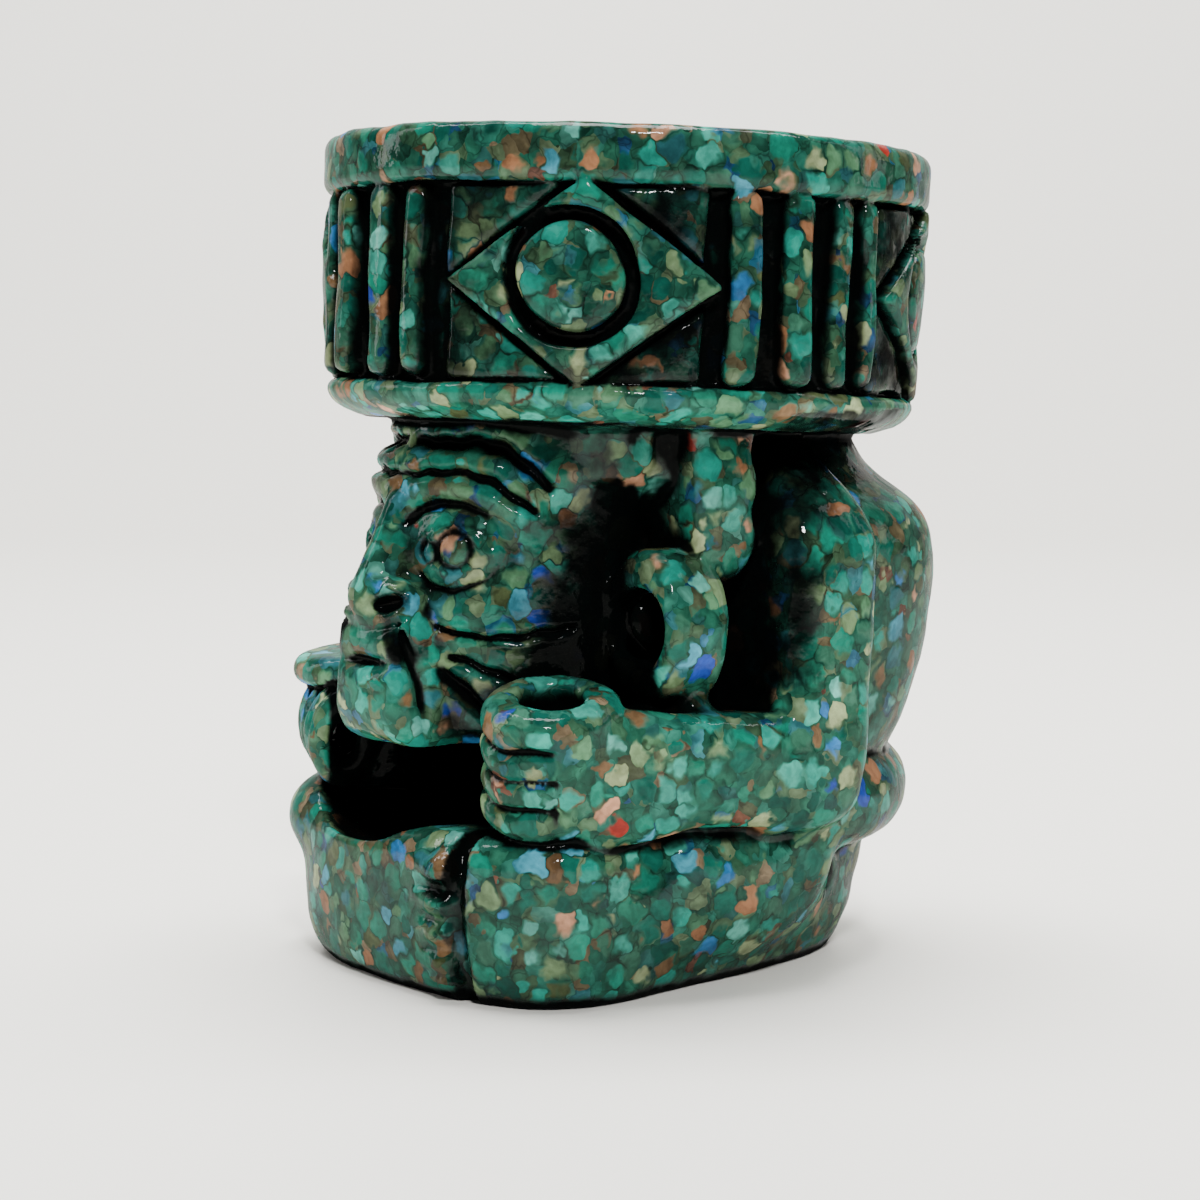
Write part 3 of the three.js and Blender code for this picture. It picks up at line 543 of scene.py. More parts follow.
def thighs(x, y, z):
    """The swell of a thigh, hip and buttock on each side, and of the right knee beyond the forearm."""
    thigh = ball(np.abs(x), y, z, (13.8, -4.5, 9.8), (11.2, 19, 9.2))
    knee = ball(x, y, z, (-17.8, -19.8, 14.0), (8.5, 9.1, 5.8))
    hip = stick(np.abs(x), y, z, (21.0, -8, 13.0), (20.6, 6, 12.6), 4.0, 4.0)
    buttock = ball(np.abs(x), y, z, (8, 14.7, 12.4), (8.6, 8.9, 7.6))
    return smooth_min(smooth_min(smooth_min(thigh, hip, 2.0), knee, 1.5), buttock, 0.6)


def lap(x, y, z):
    """The hollow of the lap: a round-cornered well behind the shins, and a saddle that lowers the shins."""
    well = block(x, -11.6, 11.6, y, -23.4, 4, 3.2)
    well = -smooth_min(-well, -(10.5 - z), 2.4)
    saddle = ball(x, y, z, (-4.5, -25, 22.5), (13.5, 9.5, 10.4))
    return smooth_min(well, saddle, 2.0)


def leg_grooves(x, y, z):
    """Upright grooves: beside the toes in front, and one that curves down at each hip."""
    front = [(12.0, -25, 17.6), (12.8, -28.8, 15.2), (13.1, -30.3, 12), (13.3, -30.4, 9), (13.2, -29.8, 4),
             (12.4, -27.6, -0.6)]
    hip = [(15, 9.6, 18.4), (18.4, 11.2, 16), (19.3, 12.1, 12.6), (19.3, 12.4, 8.2)]
    nearest = np.float32(99)
    for points, mirrored in ((front, False), (hip, True)):
        across = np.abs(x) if mirrored else x
        for start, end in zip(points, points[1:]):
            nearest = np.minimum(nearest, stick(across, y, z, start, end, 1.05, 1.05))
    return nearest


TOE_HEIGHTS = (13.0, 9.8, 6.9, 4.2, 1.8)


def toes(x, y, z):
    """Five toes, one above the other, each a short stick that points at the groove."""
    nearest = np.float32(99)
    for i, height in enumerate(TOE_HEIGHTS):
        inward = 0.02 * (9.5 - height) ** 2
        thick = 1.75 if i == 0 else 1.45
        start, end = (7.4 + 0.2 * i, -29.9 + inward, height + 0.3), (11.0, -30.4 + inward, height)
        nearest = np.minimum(nearest, stick(x, y, z, start, end, thick * 0.85, thick))
    return nearest


def toe_gaps(x, y, z):
    """The dents between the toes, the deepest of them under the great toe."""
    nearest = np.float32(99)
    for i, (upper, lower) in enumerate(zip(TOE_HEIGHTS, TOE_HEIGHTS[1:])):
        height = (upper + lower) / 2 - 0.15
        thick = 1.0 if i == 0 else 0.7
        start, end = (6.4 + 0.4 * i, -32.0, height + 0.3), (12.8, -31.3, height)
        nearest = np.minimum(nearest, stick(x, y, z, start, end, thick * 0.6, thick))
    return nearest


join((-30, -34, -2), (30, 27, 19), legs, 0.8)
join((-30, -34, -2), (30, 27, 22), thighs, 1.6)
press((-24, -34, 9), (24, 4, 24), lap, 0.7)
press((-22, -34, -2), (22, 14, 19), leg_grooves, 0.5)
join((4, -34, 2), (15, -27, 16), toes, 0.8)
press((4, -34, 2), (15, -27, 16), toe_gaps, 0.6)

# The right hand, closed on top, rests on the knee, and its fingers curl round a level hole.
CURL_MIDDLE = (-12.5, -26.6, 23.0)
CURL_TURN = math.radians(21)
CURL_RISE = math.radians(12)
FINGER_PITCH = 2.1
FINGER_RADIUS = 1.25
CURL_RADIUS = 2.5


def right_hand(x, y, z):
    """The back of the hand, a round-cornered disc, on a palm that is a smaller and taller one."""
    back = block(np.hypot(x + 17.0, y + 22.2), -20, 6.6, z - 0.1 * (y + 22.2), 28.6, 31.7, 1.5)
    palm = block(np.hypot(x + 15.0, y + 20.0), -20, 5.4, z, 17.5, 30, 1.5)
    return smooth_min(back, palm, 1.0)


def curled_fingers(x, y, z):
    """Four rings along a level axis that points in and forward: hypot(way out from an oval, way along the
    axis from the nearest ring) less the finger's radius."""
    dx, dy, dz = (p - middle for p, middle in zip((x, y, z), CURL_MIDDLE))
    outward = dx * -math.cos(CURL_TURN) + dy * math.sin(CURL_TURN)
    level = dx * math.sin(CURL_TURN) + dy * math.cos(CURL_TURN)
    along = outward * math.cos(CURL_RISE) + dz * math.sin(CURL_RISE)
    rise = dz * math.cos(CURL_RISE) - outward * math.sin(CURL_RISE)
    nearest = np.clip(np.round(along / FINGER_PITCH), 0, 3)
    ring = np.hypot(level, 0.7 * rise) - CURL_RADIUS
    return np.hypot(ring, along - nearest * FINGER_PITCH) - FINGER_RADIUS


join((-27, -33, 14.5), (-8, -12, 35), right_hand, 0.7)
join((-27, -33, 14.5), (-8, -12, 35), curled_fingers, 0.2)

# The finish of the casting before it is coloured: slightly uneven all over from hand finishing, and a flat
# ground underside.
grid_x, grid_y, grid_z = np.ix_(*axes)
field += 0.11 * np.sin(0.55 * grid_x + 1.3) * np.sin(0.5 * grid_y + 0.7) * np.sin(0.62 * grid_z + 2.1)
field += 0.05 * np.sin(1.3 * grid_x + 0.4) * np.sin(1.2 * grid_y + 2.2) * np.sin(1.45 * grid_z + 0.9)
field = np.maximum(field, -grid_z)


def surface_of(values):
    """Surface nets: one vertex in each cell that the surface crosses, at the mean of the crossings on the
    cell's twelve edges, and one square across each lattice edge whose ends differ in sign."""
    inside = values < 0
    corners = [(i, j, k) for i in (0, 1) for j in (0, 1) for k in (0, 1)]
    cells = tuple(n - 1 for n in values.shape)

    def shifted(array, corner):
        return array[tuple(slice(c, c + n) for c, n in zip(corner, cells))]

    count = sum(shifted(inside, corner).astype(np.int8) for corner in corners)
    active = np.argwhere((count > 0) & (count < 8))
    index = np.full(cells, -1, np.int32)
    index[tuple(active.T)] = np.arange(len(active))
    total = np.zeros((len(active), 3))
    crossings = np.zeros(len(active))
    for corner in corners:
        for axis in range(3):
            if corner[axis] == 1:
                continue
            other = tuple(c + (a == axis) for a, c in enumerate(corner))
            start = values[tuple((active + corner).T)]
            end = values[tuple((active + other).T)]
            crosses = (start < 0) != (end < 0)
            share = np.where(crosses, start / np.where(crosses, start - end, 1), 0)
            place = np.array(corner) + share[:, None] * (np.array(other) - corner)
            total += np.where(crosses[:, None], place, 0)
            crossings += crosses
    vertices = (active + total / crossings[:, None]) * STEP + LATTICE_LOW
    squares = []
    for axis in range(3):
        step = np.eye(3, dtype=int)[axis]
        u, v = np.eye(3, dtype=int)[(axis + 1) % 3], np.eye(3, dtype=int)[(axis + 2) % 3]
        ends = tuple(slice(None, -1) if a == axis else slice(None) for a in range(3))
        nexts = tuple(slice(1, None) if a == axis else slice(None) for a in range(3))
        edges = np.argwhere(inside[ends] != inside[nexts])
        ring = [index[tuple((edges - shift).T)] for shift in (u + v, v, 0 * u, u)]
        square = np.stack(ring, axis=1)
        outward = inside[tuple(edges.T)]
        square[~outward] = square[~outward][:, ::-1]
        squares.append(square)
    return vertices, np.concatenate(squares)


vertices, squares = surface_of(field)
dense = bpy.data.meshes.new("casting_dense")
dense.from_pydata((vertices * 0.001).tolist(), [], squares.tolist())
figure = bpy.data.objects.new("fire_god_casting", dense)
bpy.context.scene.collection.objects.link(figure)

# Thinned, mostly where the surface is smooth, to stay under the limit for one piece.
MOST_TRIANGLES = 190000
thin = figure.modifiers.new("thin", "DECIMATE")
thin.ratio = min(1.0, MOST_TRIANGLES / (2 * len(squares)))
away_from_face = (vertices[:, 1] > -19) | (np.abs(vertices[:, 2] - 38) > 14)
figure.vertex_groups.new(name="may_be_thinned").add(np.flatnonzero(away_from_face).tolist(), 1.0, "REPLACE")
thin.vertex_group = "may_be_thinned"
evaluated = figure.evaluated_get(bpy.context.evaluated_depsgraph_get())
mesh = bpy.data.meshes.new_from_object(evaluated)
figure.modifiers.clear()
figure.vertex_groups.clear()
figure.data = mesh
mesh.name = "fire_god_casting"
mesh.shade_smooth()

# The black wash and painted shade: thin black paint, brushed all over and wiped off the high places, so that
# it stays where a cloth can't reach: in the grooves, and in the hollows that little open air is seen from.
# Those hollows, the foot line, the palm, the arms' fronts, the band under the flange and the lower legs are
# also painted darker as shade.
COARSE = 2


def blurred(values, spread):
    """Gaussian mean over spread lattice steps, taken along one axis after another."""
    reach = int(3 * spread)
    taps = np.exp(-0.5 * (np.arange(-reach, reach + 1) / spread) ** 2)
    taps = (taps / taps.sum()).astype(np.float32)
    for axis in range(3):
        padded = np.pad(values, [(reach, reach) if a == axis else (0, 0) for a in range(3)], mode="edge")
        length = values.shape[axis]
        values = sum(tap * np.take(padded, range(i, i + length), axis=axis) for i, tap in enumerate(taps))
    return values


def seen_along(open_air, direction):
    """Share of light that comes through the air from one direction. Slice after slice away from that side,
    light = 1 - (1 - the light of the slice before, moved sideways) * 0.985, and none inside stone."""
    major = int(np.argmax(np.abs(direction)))
    slices = np.moveaxis(open_air, major, 0)
    rest = [d / abs(direction[major]) for i, d in enumerate(direction) if i != major]
    if direction[major] > 0:
        slices = slices[::-1]
    light = np.empty_like(slices)
    light[0] = slices[0]
    for i in range(1, len(slices)):
        before = light[i - 1]
        for axis, move in enumerate(rest):
            whole = math.floor(move)
            near, far = (np.roll(before, -shift, axis=axis) for shift in (whole, whole + 1))
            before = near + (move - whole) * (far - near)
        light[i] = (1 - (1 - before) * 0.985) * slices[i]
    if direction[major] > 0:
        light = light[::-1]
    return np.moveaxis(light, 0, major)


def sampled(values, places, step):
    """Value of a lattice at places in mm: the mean of the eight nearest points, by nearness."""
    position = (places - LATTICE_LOW) / step
    base = np.clip(np.floor(position).astype(int), 0, np.array(values.shape) - 2)
    part = np.clip(position - base, 0, 1)
    total = np.zeros(len(places))
    for corner in [(i, j, k) for i in (0, 1) for j in (0, 1) for k in (0, 1)]:
        weight = np.prod(np.where(corner, part, 1 - part), axis=1)
        total += weight * values[tuple((base + corner).T)]
    return total


def smooth_step(values, low, high):
    """0 below low, 1 above high, 3 t^2 - 2 t^3 between them."""
    share = np.clip((values - low) / (high - low), 0, 1)
    return share * share * (3 - 2 * share)


stone = (field < 0).astype(np.float32)
stone[:, :, :int(-LATTICE_LOW[2] / STEP) + 1] = 0
near_stone = blurred(stone, 0.85 / STEP)
open_air = 1 - stone[::COARSE, ::COARSE, ::COARSE]
reach = (-2, -1, 0, 1, 2)
directions = [(i, j, k) for i in reach for j in reach for k in reach if max(abs(i), abs(j), abs(k)) == 2]
lengths = [math.hypot(*direction) for direction in directions]
weights = [8 / length ** 3 for length in lengths]
light = sum(weight * seen_along(open_air, direction) for weight, direction in zip(weights, directions))
light = light / sum(weights)

places = np.empty(len(mesh.vertices) * 3)
mesh.vertices.foreach_get("co", places)
places = places.reshape(-1, 3) * 1000
normals = np.empty(len(mesh.vertices) * 3)
mesh.vertices.foreach_get("normal", normals)
outside = places + normals.reshape(-1, 3) * 0.9
air = np.maximum(sampled(open_air, outside, COARSE * STEP), 0.2)
openness = sampled(light, outside, COARSE * STEP) / air
groove = smooth_step(sampled(near_stone, places, STEP), 0.53, 0.64)
# Hollows that little open air is seen from: black paint and painted shade together, darker the less sky they
# see.
hollow = 1 - smooth_step(openness, 0.16, 0.44)
# The foot line: black paint along the bottom edge with a painted contact shadow.
foot = 1 - smooth_step(places[:, 2], 0.4, 1.7)
from_nose = np.degrees(np.arctan2(np.abs(places[:, 0]), HEAD_Y - places[:, 1]))
cheek_end = np.interp(places[:, 2], (28, 30, 36, 44, 50, 54), (50, 56, 72, 80, 88, 100))
on_head = (np.hypot(places[:, 0], places[:, 1] - HEAD_Y) < 17) & (np.abs(places[:, 2] - 40) < 15)
behind_cheek = on_head * smooth_step(from_nose, cheek_end - 20, cheek_end + 10)
on_cheek = 0.36 * on_head * smooth_step(from_nose, cheek_end - 42, cheek_end - 14)
eye_u = np.radians(from_nose - EYE_ANGLE) * FACE_RADIUS
eye_v = places[:, 2] - EYE_HEIGHT - 0.03 * eye_u
near_eye = on_head & (np.hypot(eye_u / 6.8, eye_v / 5.6) < 1)
in_eye = near_eye * (0.2 + 0.6 * smooth_step(eye_lines(eye_u, eye_v), 0.12, 0.5))
under_wing = line_distance(np.abs(places[:, 0]), places[:, 2], [(4.2, 36.2), (5.2, 33.4)])
under_wing = 0.75 * (places[:, 1] < -28) * (1 - smooth_step(under_wing, 0.4, 1.6))
nostril_way = np.hypot((np.abs(places[:, 0]) - 3.9) / 1.7, places[:, 2] - 38.3)
round_nostril = 0.6 * (places[:, 1] < -29.8) * (1 - smooth_step(nostril_way, 0.6, 1.8))
# Inside the right hand: black paint with painted deep shade.
from_curl = ((places[:, 0] - CURL_MIDDLE[0]) * math.sin(CURL_TURN)
             + (places[:, 1] - CURL_MIDDLE[1]) * math.cos(CURL_TURN))
in_hand = (np.hypot(places[:, 0] + 15, places[:, 1] + 22) < 9) & (places[:, 2] < 29) & (places[:, 2] > 17)
in_palm = in_hand * smooth_step(from_curl, -2.2, -1.3) * smooth_step(places[:, 0], -19.5, -17.5)
between_toes = (0.15 + 0.6 * smooth_step(places[:, 2], 9, 10.5)) * (places[:, 2] < 14) * (
    1 - smooth_step(toe_gaps(*places.T), -0.1, 0.4))
# The fronts of the upper arms: black paint with painted shade, reaching further back toward the top under the
# brazier.
behind_arm = places[:, 1] - 1.1 * np.maximum(places[:, 2] - 45, 0)
on_arm = (np.abs(places[:, 0]) > 17) & (places[:, 1] > -1.5) & (places[:, 2] < 57)
behind_arm = 0.65 * on_arm * smooth_step(places[:, 2], 28.5, 31) * (1 - smooth_step(behind_arm, 0.3, 5.0))
from_spool = np.hypot(np.abs(places[:, 0]) - 23, places[:, 2] - 43.5)
on_spool = (np.abs(places[:, 1] - SPOOL_FRONT) < 3) & (np.abs(places[:, 0]) > 11) & (
    np.hypot(np.abs(places[:, 0]) - SPOOL_X, places[:, 2] - SPOOL_Z) < 9)
on_spool = on_spool * (1 - smooth_step(places[:, 1], SPOOL_FRONT + 0.6, SPOOL_FRONT + 1.8)) * (
    smooth_step(from_spool, 2.5, 8.5)) * (1 - smooth_step(np.abs(places[:, 0]), 21.5, 23.5))
# Painted shade with some black paint in the band just under the flange.
under_flange = smooth_step(places[:, 2], 55.0, 56.4) * (np.hypot(places[:, 0], places[:, 1]) < 27) * (
    places[:, 2] < 60)
brazier_radius, _, brazier_height = in_brazier(*places.T)
on_wall = (brazier_height > FLANGE_TOP) & (brazier_height < RECESS_TOP)
in_field = 0.42 + 0.15 * np.sin(0.3 * places[:, 0])
in_field = in_field * on_wall * (1 - smooth_step(brazier_radius, 30.2, 30.7))
on_brazier = 0.19 * smooth_step(brazier_height, 58, 60)
by_nose = on_head * (1 - smooth_step(from_nose, 28, 38)) * (np.abs(places[:, 2] - 38.5) < 4)
in_crease = (np.abs(places[:, 0]) > 18) & (np.abs(places[:, 2] - 15) < 3.5) & (places[:, 1] > -15)
on_toes = (places[:, 1] < -26) & (np.abs(places[:, 0] - 9.5) < 4) & (places[:, 2] < 14.5)
groove = groove * (1 - 0.6 * near_eye) * (1 - 0.35 * in_crease) * (1 - 0.75 * on_toes)
hollow = hollow * (1 - 0.8 * near_eye) * (1 - 0.6 * by_nose) * (1 - 0.45 * in_crease) * (1 - 0.75 * on_toes)
between_legs = (0.5 + 0.45 * smooth_step(places[:, 2], 8, 13)) * (places[:, 2] < 18) * (
    1 - smooth_step(leg_grooves(*places.T), 0.0, 0.45))
# Painted shade: the legs darker toward the floor.
on_legs = 0.1 * (1 - smooth_step(places[:, 2], 11, 18))
wash_and_shade = 1 - (1 - groove) * (1 - hollow) * (1 - foot)
for share in (behind_cheek, on_cheek, in_eye, under_wing, round_nostril, in_palm, between_toes, behind_arm,
              on_spool, under_flange, in_field, on_brazier, between_legs, on_legs):
    wash_and_shade = 1 - (1 - wash_and_shade) * (1 - share)

# Painted light and shade: the arms, fists, spools and flange are painted a little brighter, and the back and
# the waist roll are painted duller.
forward = 1 - smooth_step(places[:, 1], 6, 16)
painted_light_and_shade = 1 + 0.38 * forward * swell(places[:, 2] - 29, 13) + 0.45 * swell(places[:, 2] - 57.5, 2.2)
painted_light_and_shade = painted_light_and_shade - 0.25 * (1 - forward) * (places[:, 2] < 56)
for name, values in (("wash_and_shade", wash_and_shade), ("painted_light_and_shade", painted_light_and_shade)):
    attribute = mesh.attributes.new(name, "FLOAT", "POINT")
    attribute.data.foreach_set("value", values.astype(np.float32))

# Crushed stone in clear resin: green malachite-like chips with some turquoise, blue, tan and red ones,
# 1 to 3 mm across and packed tight, under a wet-looking gloss lacquer. Black paint fills the recesses, and
# painted shade darkens the deep hollows and the lower legs.


def linear(hex_colour):
    """An sRGB hex colour as linear red, green, blue and alpha 1."""
    parts = [int(hex_colour[i:i + 2], 16) / 255 for i in (1, 3, 5)]
    return [p / 12.92 if p <= 0.04045 else ((p + 0.055) / 1.055) ** 2.4 for p in parts] + [1.0]


def add_node(tree, kind, inputs=None, **settings):
    """Adds a node, sets its properties, and fills each input with a value or a link from a socket."""
    new = tree.nodes.new(kind)
    for name, value in settings.items():
        setattr(new, name, value)
    for name, value in (inputs or {}).items():
        if isinstance(value, bpy.types.NodeSocket):
            tree.links.new(value, new.inputs[name])
        else:
            new.inputs[name].default_value = value
    return new


chip_colours = [
    # Colour and its share of the chips.
    ("#093f35", 9), ("#0e5043", 11), ("#156553", 12), ("#1e7768", 10), ("#318373", 7), ("#4d9385", 3.5),
    ("#1b5f4c", 8), ("#2b5443", 7), ("#43694c", 7), ("#5c7352", 7.5), ("#7c8864", 5.5), ("#3e482e", 3.5),
    ("#23555a", 5), ("#7e583e", 3.2), ("#a0765c", 1.8), ("#5c4731", 3.5), ("#2a6496", 2), ("#1f3a88", 1.6),
    ("#397e90", 1.6), ("#8a2a22", 0.6),
]
chips = bpy.data.materials.new("stone_chips_in_resin")
chips.use_nodes = True
tree = chips.node_tree
tree.nodes.clear()
MM = 1000.0
UPPER_SIZE = 2.5
LOWER_SIZE = 1.7
place = add_node(tree, "ShaderNodeTexCoord").outputs["Object"]


def math_node(operation, first, second=0.0, third=0.0):
    return add_node(tree, "ShaderNodeMath", {0: first, 1: second, 2: third}, operation=operation).outputs[0]


def vector_node(operation, first, second):
    return add_node(tree, "ShaderNodeVectorMath", {0: first, 1: second}, operation=operation).outputs[0]


def smooth_range(value, low, high, to_low=0.0, to_high=1.0):
    """Slides from to_low to to_high while the value goes from low to high."""
    return add_node(tree, "ShaderNodeMapRange", {"Value": value, "From Min": low, "From Max": high,
                    "To Min": to_low, "To Max": to_high}, interpolation_type="SMOOTHSTEP").outputs[0]


def mixed(share, first, second, blend="MIX"):
    return add_node(tree, "ShaderNodeMix", {0: share, 6: first, 7: second}, data_type="RGBA",
                    blend_type=blend).outputs[2]


# The chips aren't quite flat-sided, so what they are measured from is bent a little.
bend = add_node(tree, "ShaderNodeTexNoise", {"Vector": place, "Scale": 0.5 * MM, "Detail": 2.0})
bend_way = vector_node("SUBTRACT", bend.outputs["Color"], (0.5, 0.5, 0.5))
warped = vector_node("MULTIPLY_ADD", bend_way, (0.0022, 0.0022, 0.0022))
tree.links.new(place, warped.node.inputs[2])


def chip_layer(size_mm, offset):
    """A packing of chips: where they are measured from, the way from a chip's middle, its random parts, its
    colour, and its light, which leans to one side of the chip and is mottled by a pattern of its own."""
    moved = vector_node("ADD", warped, (offset, offset, offset))
    cell = add_node(tree, "ShaderNodeTexVoronoi",
                    {"Vector": moved, "Scale": MM / size_mm, "Randomness": 0.95}, feature="F1")
    parts = add_node(tree, "ShaderNodeSeparateColor", {"Color": cell.outputs["Color"]})
    palette = add_node(tree, "ShaderNodeValToRGB", {"Fac": parts.outputs["Red"]})
    ramp = palette.color_ramp
    ramp.interpolation = "CONSTANT"
    ramp.elements.remove(ramp.elements[-1])
    total_share = sum(share for _, share in chip_colours)
    start = 0.0
    for colour, share in chip_colours:
        stop = ramp.elements[0] if start == 0.0 else ramp.elements.new(start / total_share)
        stop.color = linear(colour)
        start += share
    from_middle = vector_node("SUBTRACT", moved, cell.outputs["Position"])
    lean_way = vector_node("SUBTRACT", cell.outputs["Color"], (0.5, 0.5, 0.5))
    lean = add_node(tree, "ShaderNodeVectorMath", {0: from_middle, 1: lean_way}, operation="DOT_PRODUCT")
    own_place = vector_node("MULTIPLY_ADD", cell.outputs["Color"], (0.09, 0.09, 0.09))
    tree.links.new(moved, own_place.node.inputs[2])
    mottle = add_node(tree, "ShaderNodeTexNoise", {"Vector": own_place, "Scale": 1.1 * MM, "Detail": 3.0})
    light = math_node("MULTIPLY_ADD", lean.outputs["Value"], 0.8 * MM / size_mm,
                      smooth_range(mottle.outputs["Fac"], 0.28, 0.72, 0.76, 1.2))
    light = math_node("MULTIPLY", light, smooth_range(parts.outputs["Green"], 0.0, 1.0, 0.8, 1.15))
    return moved, cell.outputs["Distance"], parts, palette.outputs["Color"], light


upper_place, upper_way, upper_parts, upper_colour, upper_light = chip_layer(UPPER_SIZE, 0.0)
_, lower_way, _, lower_colour, lower_light = chip_layer(LOWER_SIZE, 0.031)
upper_edge = add_node(tree, "ShaderNodeTexVoronoi", {"Vector": upper_place, "Scale": MM / UPPER_SIZE,
                                                     "Randomness": 0.95}, feature="DISTANCE_TO_EDGE")

# An upper chip ends at its round outline, or where it touches the next. Some ends are sharp, and others
# lie deeper in the resin and are blurred.
chip_reach = math_node("MULTIPLY_ADD", upper_parts.outputs["Blue"], 0.25, 0.48)
from_outline = math_node("SUBTRACT", chip_reach, upper_way)
inside_chip = math_node("MINIMUM", from_outline, upper_edge.outputs["Distance"])
depth = add_node(tree, "ShaderNodeTexNoise", {"Vector": place, "Scale": 0.35 * MM, "Detail": 2.0})
blur = smooth_range(depth.outputs["Fac"], 0.38, 0.6, 0.04, 0.26)
upper_cover = smooth_range(inside_chip, 0.0, blur)
upper_light = math_node("MULTIPLY", smooth_range(inside_chip, 0.0, 0.16, 0.84, 1.0), upper_light)
lower_light = math_node("MULTIPLY", smooth_range(lower_way, 0.15, 0.62, 0.8, 0.5), lower_light)
chip_light = add_node(tree, "ShaderNodeMix", {0: upper_cover, 2: lower_light, 3: upper_light},
                      data_type="FLOAT").outputs[0]
grey = add_node(tree, "ShaderNodeCombineColor", {"Red": chip_light, "Green": chip_light, "Blue": chip_light})
lower_colour = mixed(0.5, lower_colour, linear("#2c5845"))
stone_colour = mixed(upper_cover, lower_colour, upper_colour)
stone_colour = mixed(1.0, stone_colour, grey.outputs[0], "MULTIPLY")
# Painted light and shade scale the chips' colour.
light_and_shade_factor = add_node(tree, "ShaderNodeAttribute", attribute_name="painted_light_and_shade").outputs["Fac"]
stone_colour = vector_node("MULTIPLY", stone_colour, add_node(
    tree, "ShaderNodeCombineXYZ", {"X": light_and_shade_factor, "Y": light_and_shade_factor, "Z": light_and_shade_factor}).outputs[0])

# The wash and the painted shade lie in some of the cracks between chips, then glaze the chips, and hide them
# where they are thickest.
wash_and_shade_amount = add_node(tree, "ShaderNodeAttribute", attribute_name="wash_and_shade").outputs["Fac"]
smear = add_node(tree, "ShaderNodeTexNoise", {"Vector": place, "Scale": 0.3 * MM, "Detail": 4.0})
wash_and_shade_edge = math_node("ADD", wash_and_shade_amount, smooth_range(smear.outputs["Fac"], 0.3, 0.7, -0.18, 0.18))
open_crack = math_node("MAXIMUM", smooth_range(bend.outputs["Fac"], 0.57, 0.63),
                       smooth_range(wash_and_shade_edge, 0.0, 0.25))
crack = math_node("MULTIPLY", smooth_range(upper_edge.outputs["Distance"], 0.055, 0.0), open_crack)
glaze_and_shade = mixed(smooth_range(wash_and_shade_edge, 0.05, 0.65, 0.0, 0.85), stone_colour, linear("#060d0c"))
glaze_and_shade = mixed(math_node("MULTIPLY", crack, 0.5), glaze_and_shade, linear("#060a09"))
painted = mixed(smooth_range(wash_and_shade_edge, 0.5, 0.85, 0.0, 0.97), glaze_and_shade, linear("#040505"))

chip_dome = smooth_range(upper_way, 0.5, 0.1)
lacquer = add_node(tree, "ShaderNodeTexNoise", {"Vector": place, "Scale": 0.55 * MM, "Detail": 3.0})
lacquer_height = math_node("MULTIPLY_ADD", chip_dome, 0.3, lacquer.outputs["Fac"])
relief = add_node(tree, "ShaderNodeBump", {"Height": lacquer_height, "Strength": 0.6, "Distance": 0.00018})
coat = math_node("MULTIPLY", smooth_range(wash_and_shade_edge, 0.12, 0.4, 0.2, 0.3),
                 smooth_range(wash_and_shade_edge, 0.5, 0.85, 1.0, 0.15))
surface = add_node(tree, "ShaderNodeBsdfPrincipled", {
    "Base Color": painted, "Roughness": 0.6, "IOR": 1.4, "Specular IOR Level": 0.0,
    "Normal": relief.outputs[0],
    "Coat Weight": coat, "Coat Roughness": 0.05,
    "Coat IOR": 1.55, "Coat Normal": relief.outputs[0]})
add_node(tree, "ShaderNodeOutputMaterial", {"Surface": surface.outputs[0]})

mesh.materials.clear()
mesh.materials.append(chips)
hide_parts("fire_god_figure")
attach(figure, "root")

# The stage: a pale paper sweep, flat under the figure and curved up far behind it.
VIEW_ANGLE = math.radians(53)


def paper_sweep():
    """A profile, flat then a quarter circle then upright, carried along a level line across the view."""
    arc = np.linspace(0, math.pi / 2, 24)
    bend = 0.35
    along = np.concatenate([[-1.6, 0.0], 0.62 + bend * np.sin(arc), [0.62 + bend]])
    up = np.concatenate([[0.0, 0.0], bend * (1 - np.cos(arc)), [1.9]])
    across = np.linspace(-1.9, 1.9, 9)
    sideways, level = np.meshgrid(across, np.arange(len(along)), indexing="ij")
    forward = along[level]
    back = (-math.sin(VIEW_ANGLE), math.cos(VIEW_ANGLE))
    right = (math.cos(VIEW_ANGLE), math.sin(VIEW_ANGLE))
    points = np.stack([forward * back[0] + sideways * right[0], forward * back[1] + sideways * right[1],
                       up[level]], axis=-1)
    rows, columns = sideways.shape
    first = (np.arange(rows - 1)[:, None] * columns + np.arange(columns - 1)).ravel()
    faces = np.stack([first, first + columns, first + columns + 1, first + 1], axis=1)
    return points.reshape(-1, 3), faces


paper_points, paper_faces = paper_sweep()
paper_mesh = bpy.data.meshes.new("paper_sweep")
paper_mesh.from_pydata(paper_points.tolist(), [], paper_faces.tolist())
paper_mesh.shade_smooth()
paper = bpy.data.objects.new("paper_sweep", paper_mesh)
bpy.context.scene.collection.objects.link(paper)
paper_finish = bpy.data.materials.new("matt_paper")
paper_finish.use_nodes = True
paper_shader = paper_finish.node_tree.nodes["Principled BSDF"]
paper_shader.inputs["Base Color"].default_value = linear("#e8e6df")
paper_shader.inputs["Roughness"].default_value = 0.55
paper_mesh.materials.append(paper_finish)

# Soft studio light: broad lamps above, to the left and to the right, and a pale surround.


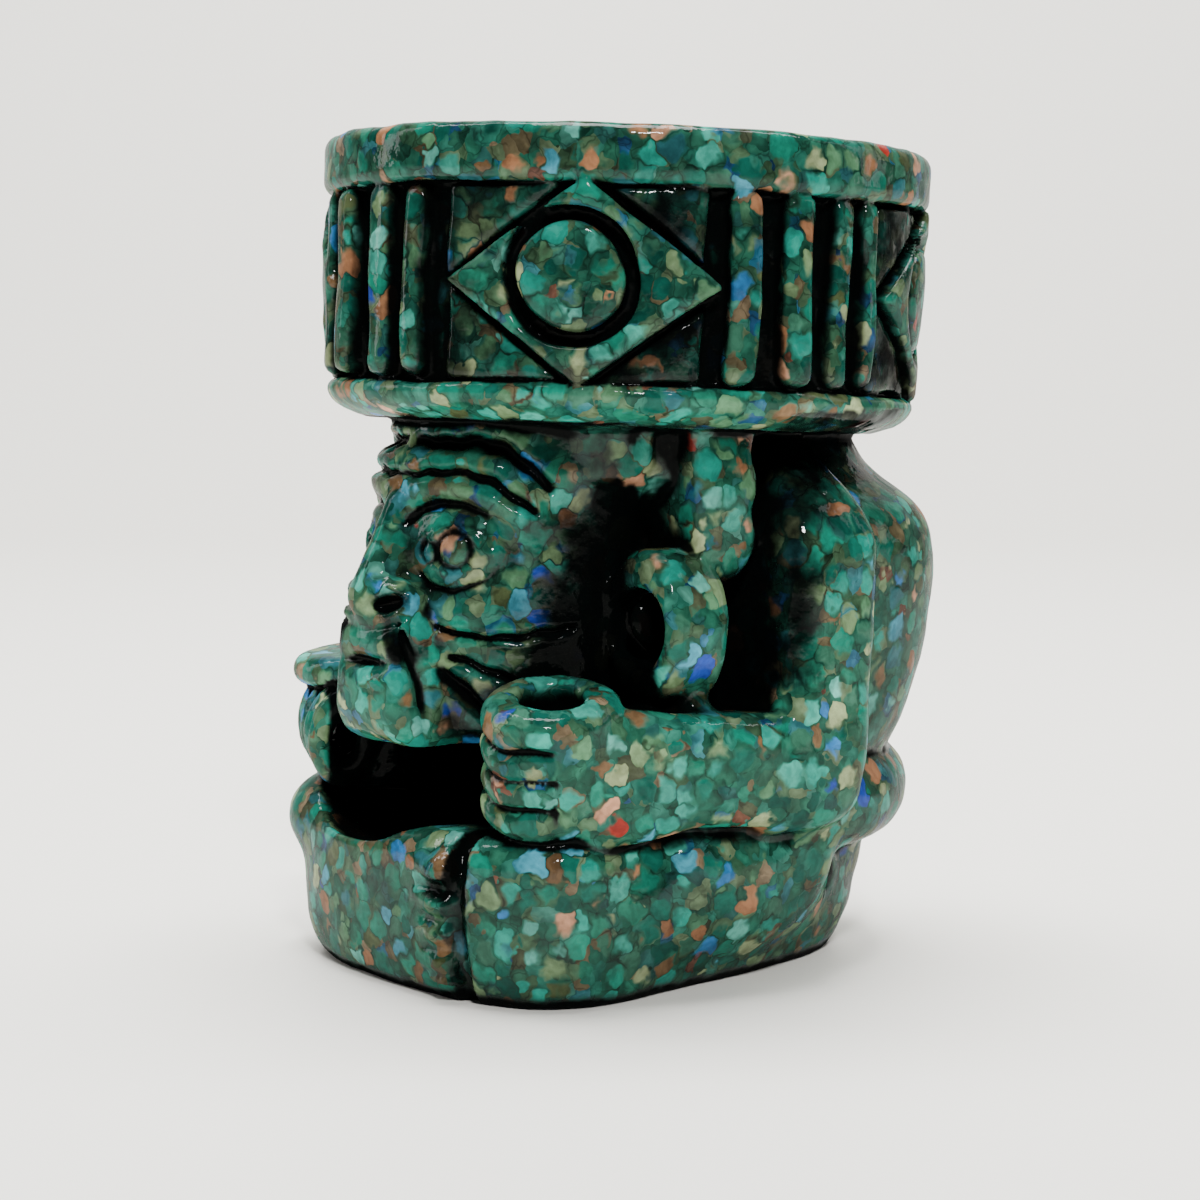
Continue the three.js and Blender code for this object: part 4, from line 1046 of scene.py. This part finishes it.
def soft_lamp(name, place, size, watts, target=(0, 0, 0.045)):
    """A square lamp that looks at a target."""
    lamp = bpy.data.lights.new(name, "AREA")
    lamp.shape = "RECTANGLE"
    lamp.size, lamp.size_y = size
    lamp.energy = watts
    holder = bpy.data.objects.new(name, lamp)
    bpy.context.scene.collection.objects.link(holder)
    holder.location = place
    aim = np.array(target) - np.array(place)
    pitch = math.atan2(np.hypot(aim[0], aim[1]), -aim[2])
    turn = math.atan2(aim[1], aim[0]) - math.pi / 2
    holder.rotation_euler = (pitch, 0, turn)


def from_view(right, toward, up):
    """A place from how far it is right of the figure, toward the camera and up, as the camera sees it."""
    s, c = math.sin(VIEW_ANGLE), math.cos(VIEW_ANGLE)
    return (right * c + toward * s, right * s - toward * c, up)


soft_lamp("overhead", from_view(0.0, -0.02, 0.6), (0.3, 0.24), 7.0)
soft_lamp("left_panel", from_view(-0.6, -0.1, 0.3), (0.12, 0.5), 1.2)
soft_lamp("right_panel", from_view(0.6, -0.1, 0.3), (0.12, 0.5), 0.6)
soft_lamp("front_lamp", from_view(0.1, 0.7, 0.62), (0.1, 0.1), 7.8)
soft_lamp("paper_glow", from_view(0.0, -0.3, 1.0), (1.4, 0.3), 28.0, from_view(0, -0.9, 0.25))

world = bpy.context.scene.world or bpy.data.worlds.new("dim_surround")
bpy.context.scene.world = world
world.use_nodes = True
world.node_tree.nodes["Background"].inputs["Color"].default_value = (0.8, 0.84, 0.88, 1)
world.node_tree.nodes["Background"].inputs["Strength"].default_value = 0.07

# The camera, where the photograph was taken from.
CAMERA_DISTANCE = 0.305
CAMERA_HEIGHT = 0.064
CAMERA_DIP = math.radians(5.1)
AXIS_COLUMN = 623.0
FOCAL_PIXELS = 2922.0
PICTURE_PIXELS = 1200.0
lens = bpy.data.cameras.new("camera")
lens.sensor_width = 36.0
lens.sensor_fit = "HORIZONTAL"
lens.lens = FOCAL_PIXELS / PICTURE_PIXELS * lens.sensor_width
lens.shift_x = (PICTURE_PIXELS / 2 - AXIS_COLUMN) / PICTURE_PIXELS
lens.clip_start = 0.01
camera = bpy.data.objects.new("camera", lens)
bpy.context.scene.collection.objects.link(camera)
camera.location = from_view(0, CAMERA_DISTANCE, CAMERA_HEIGHT)
camera.rotation_euler = (math.pi / 2 - CAMERA_DIP, 0, VIEW_ANGLE)
bpy.context.scene.camera = camera
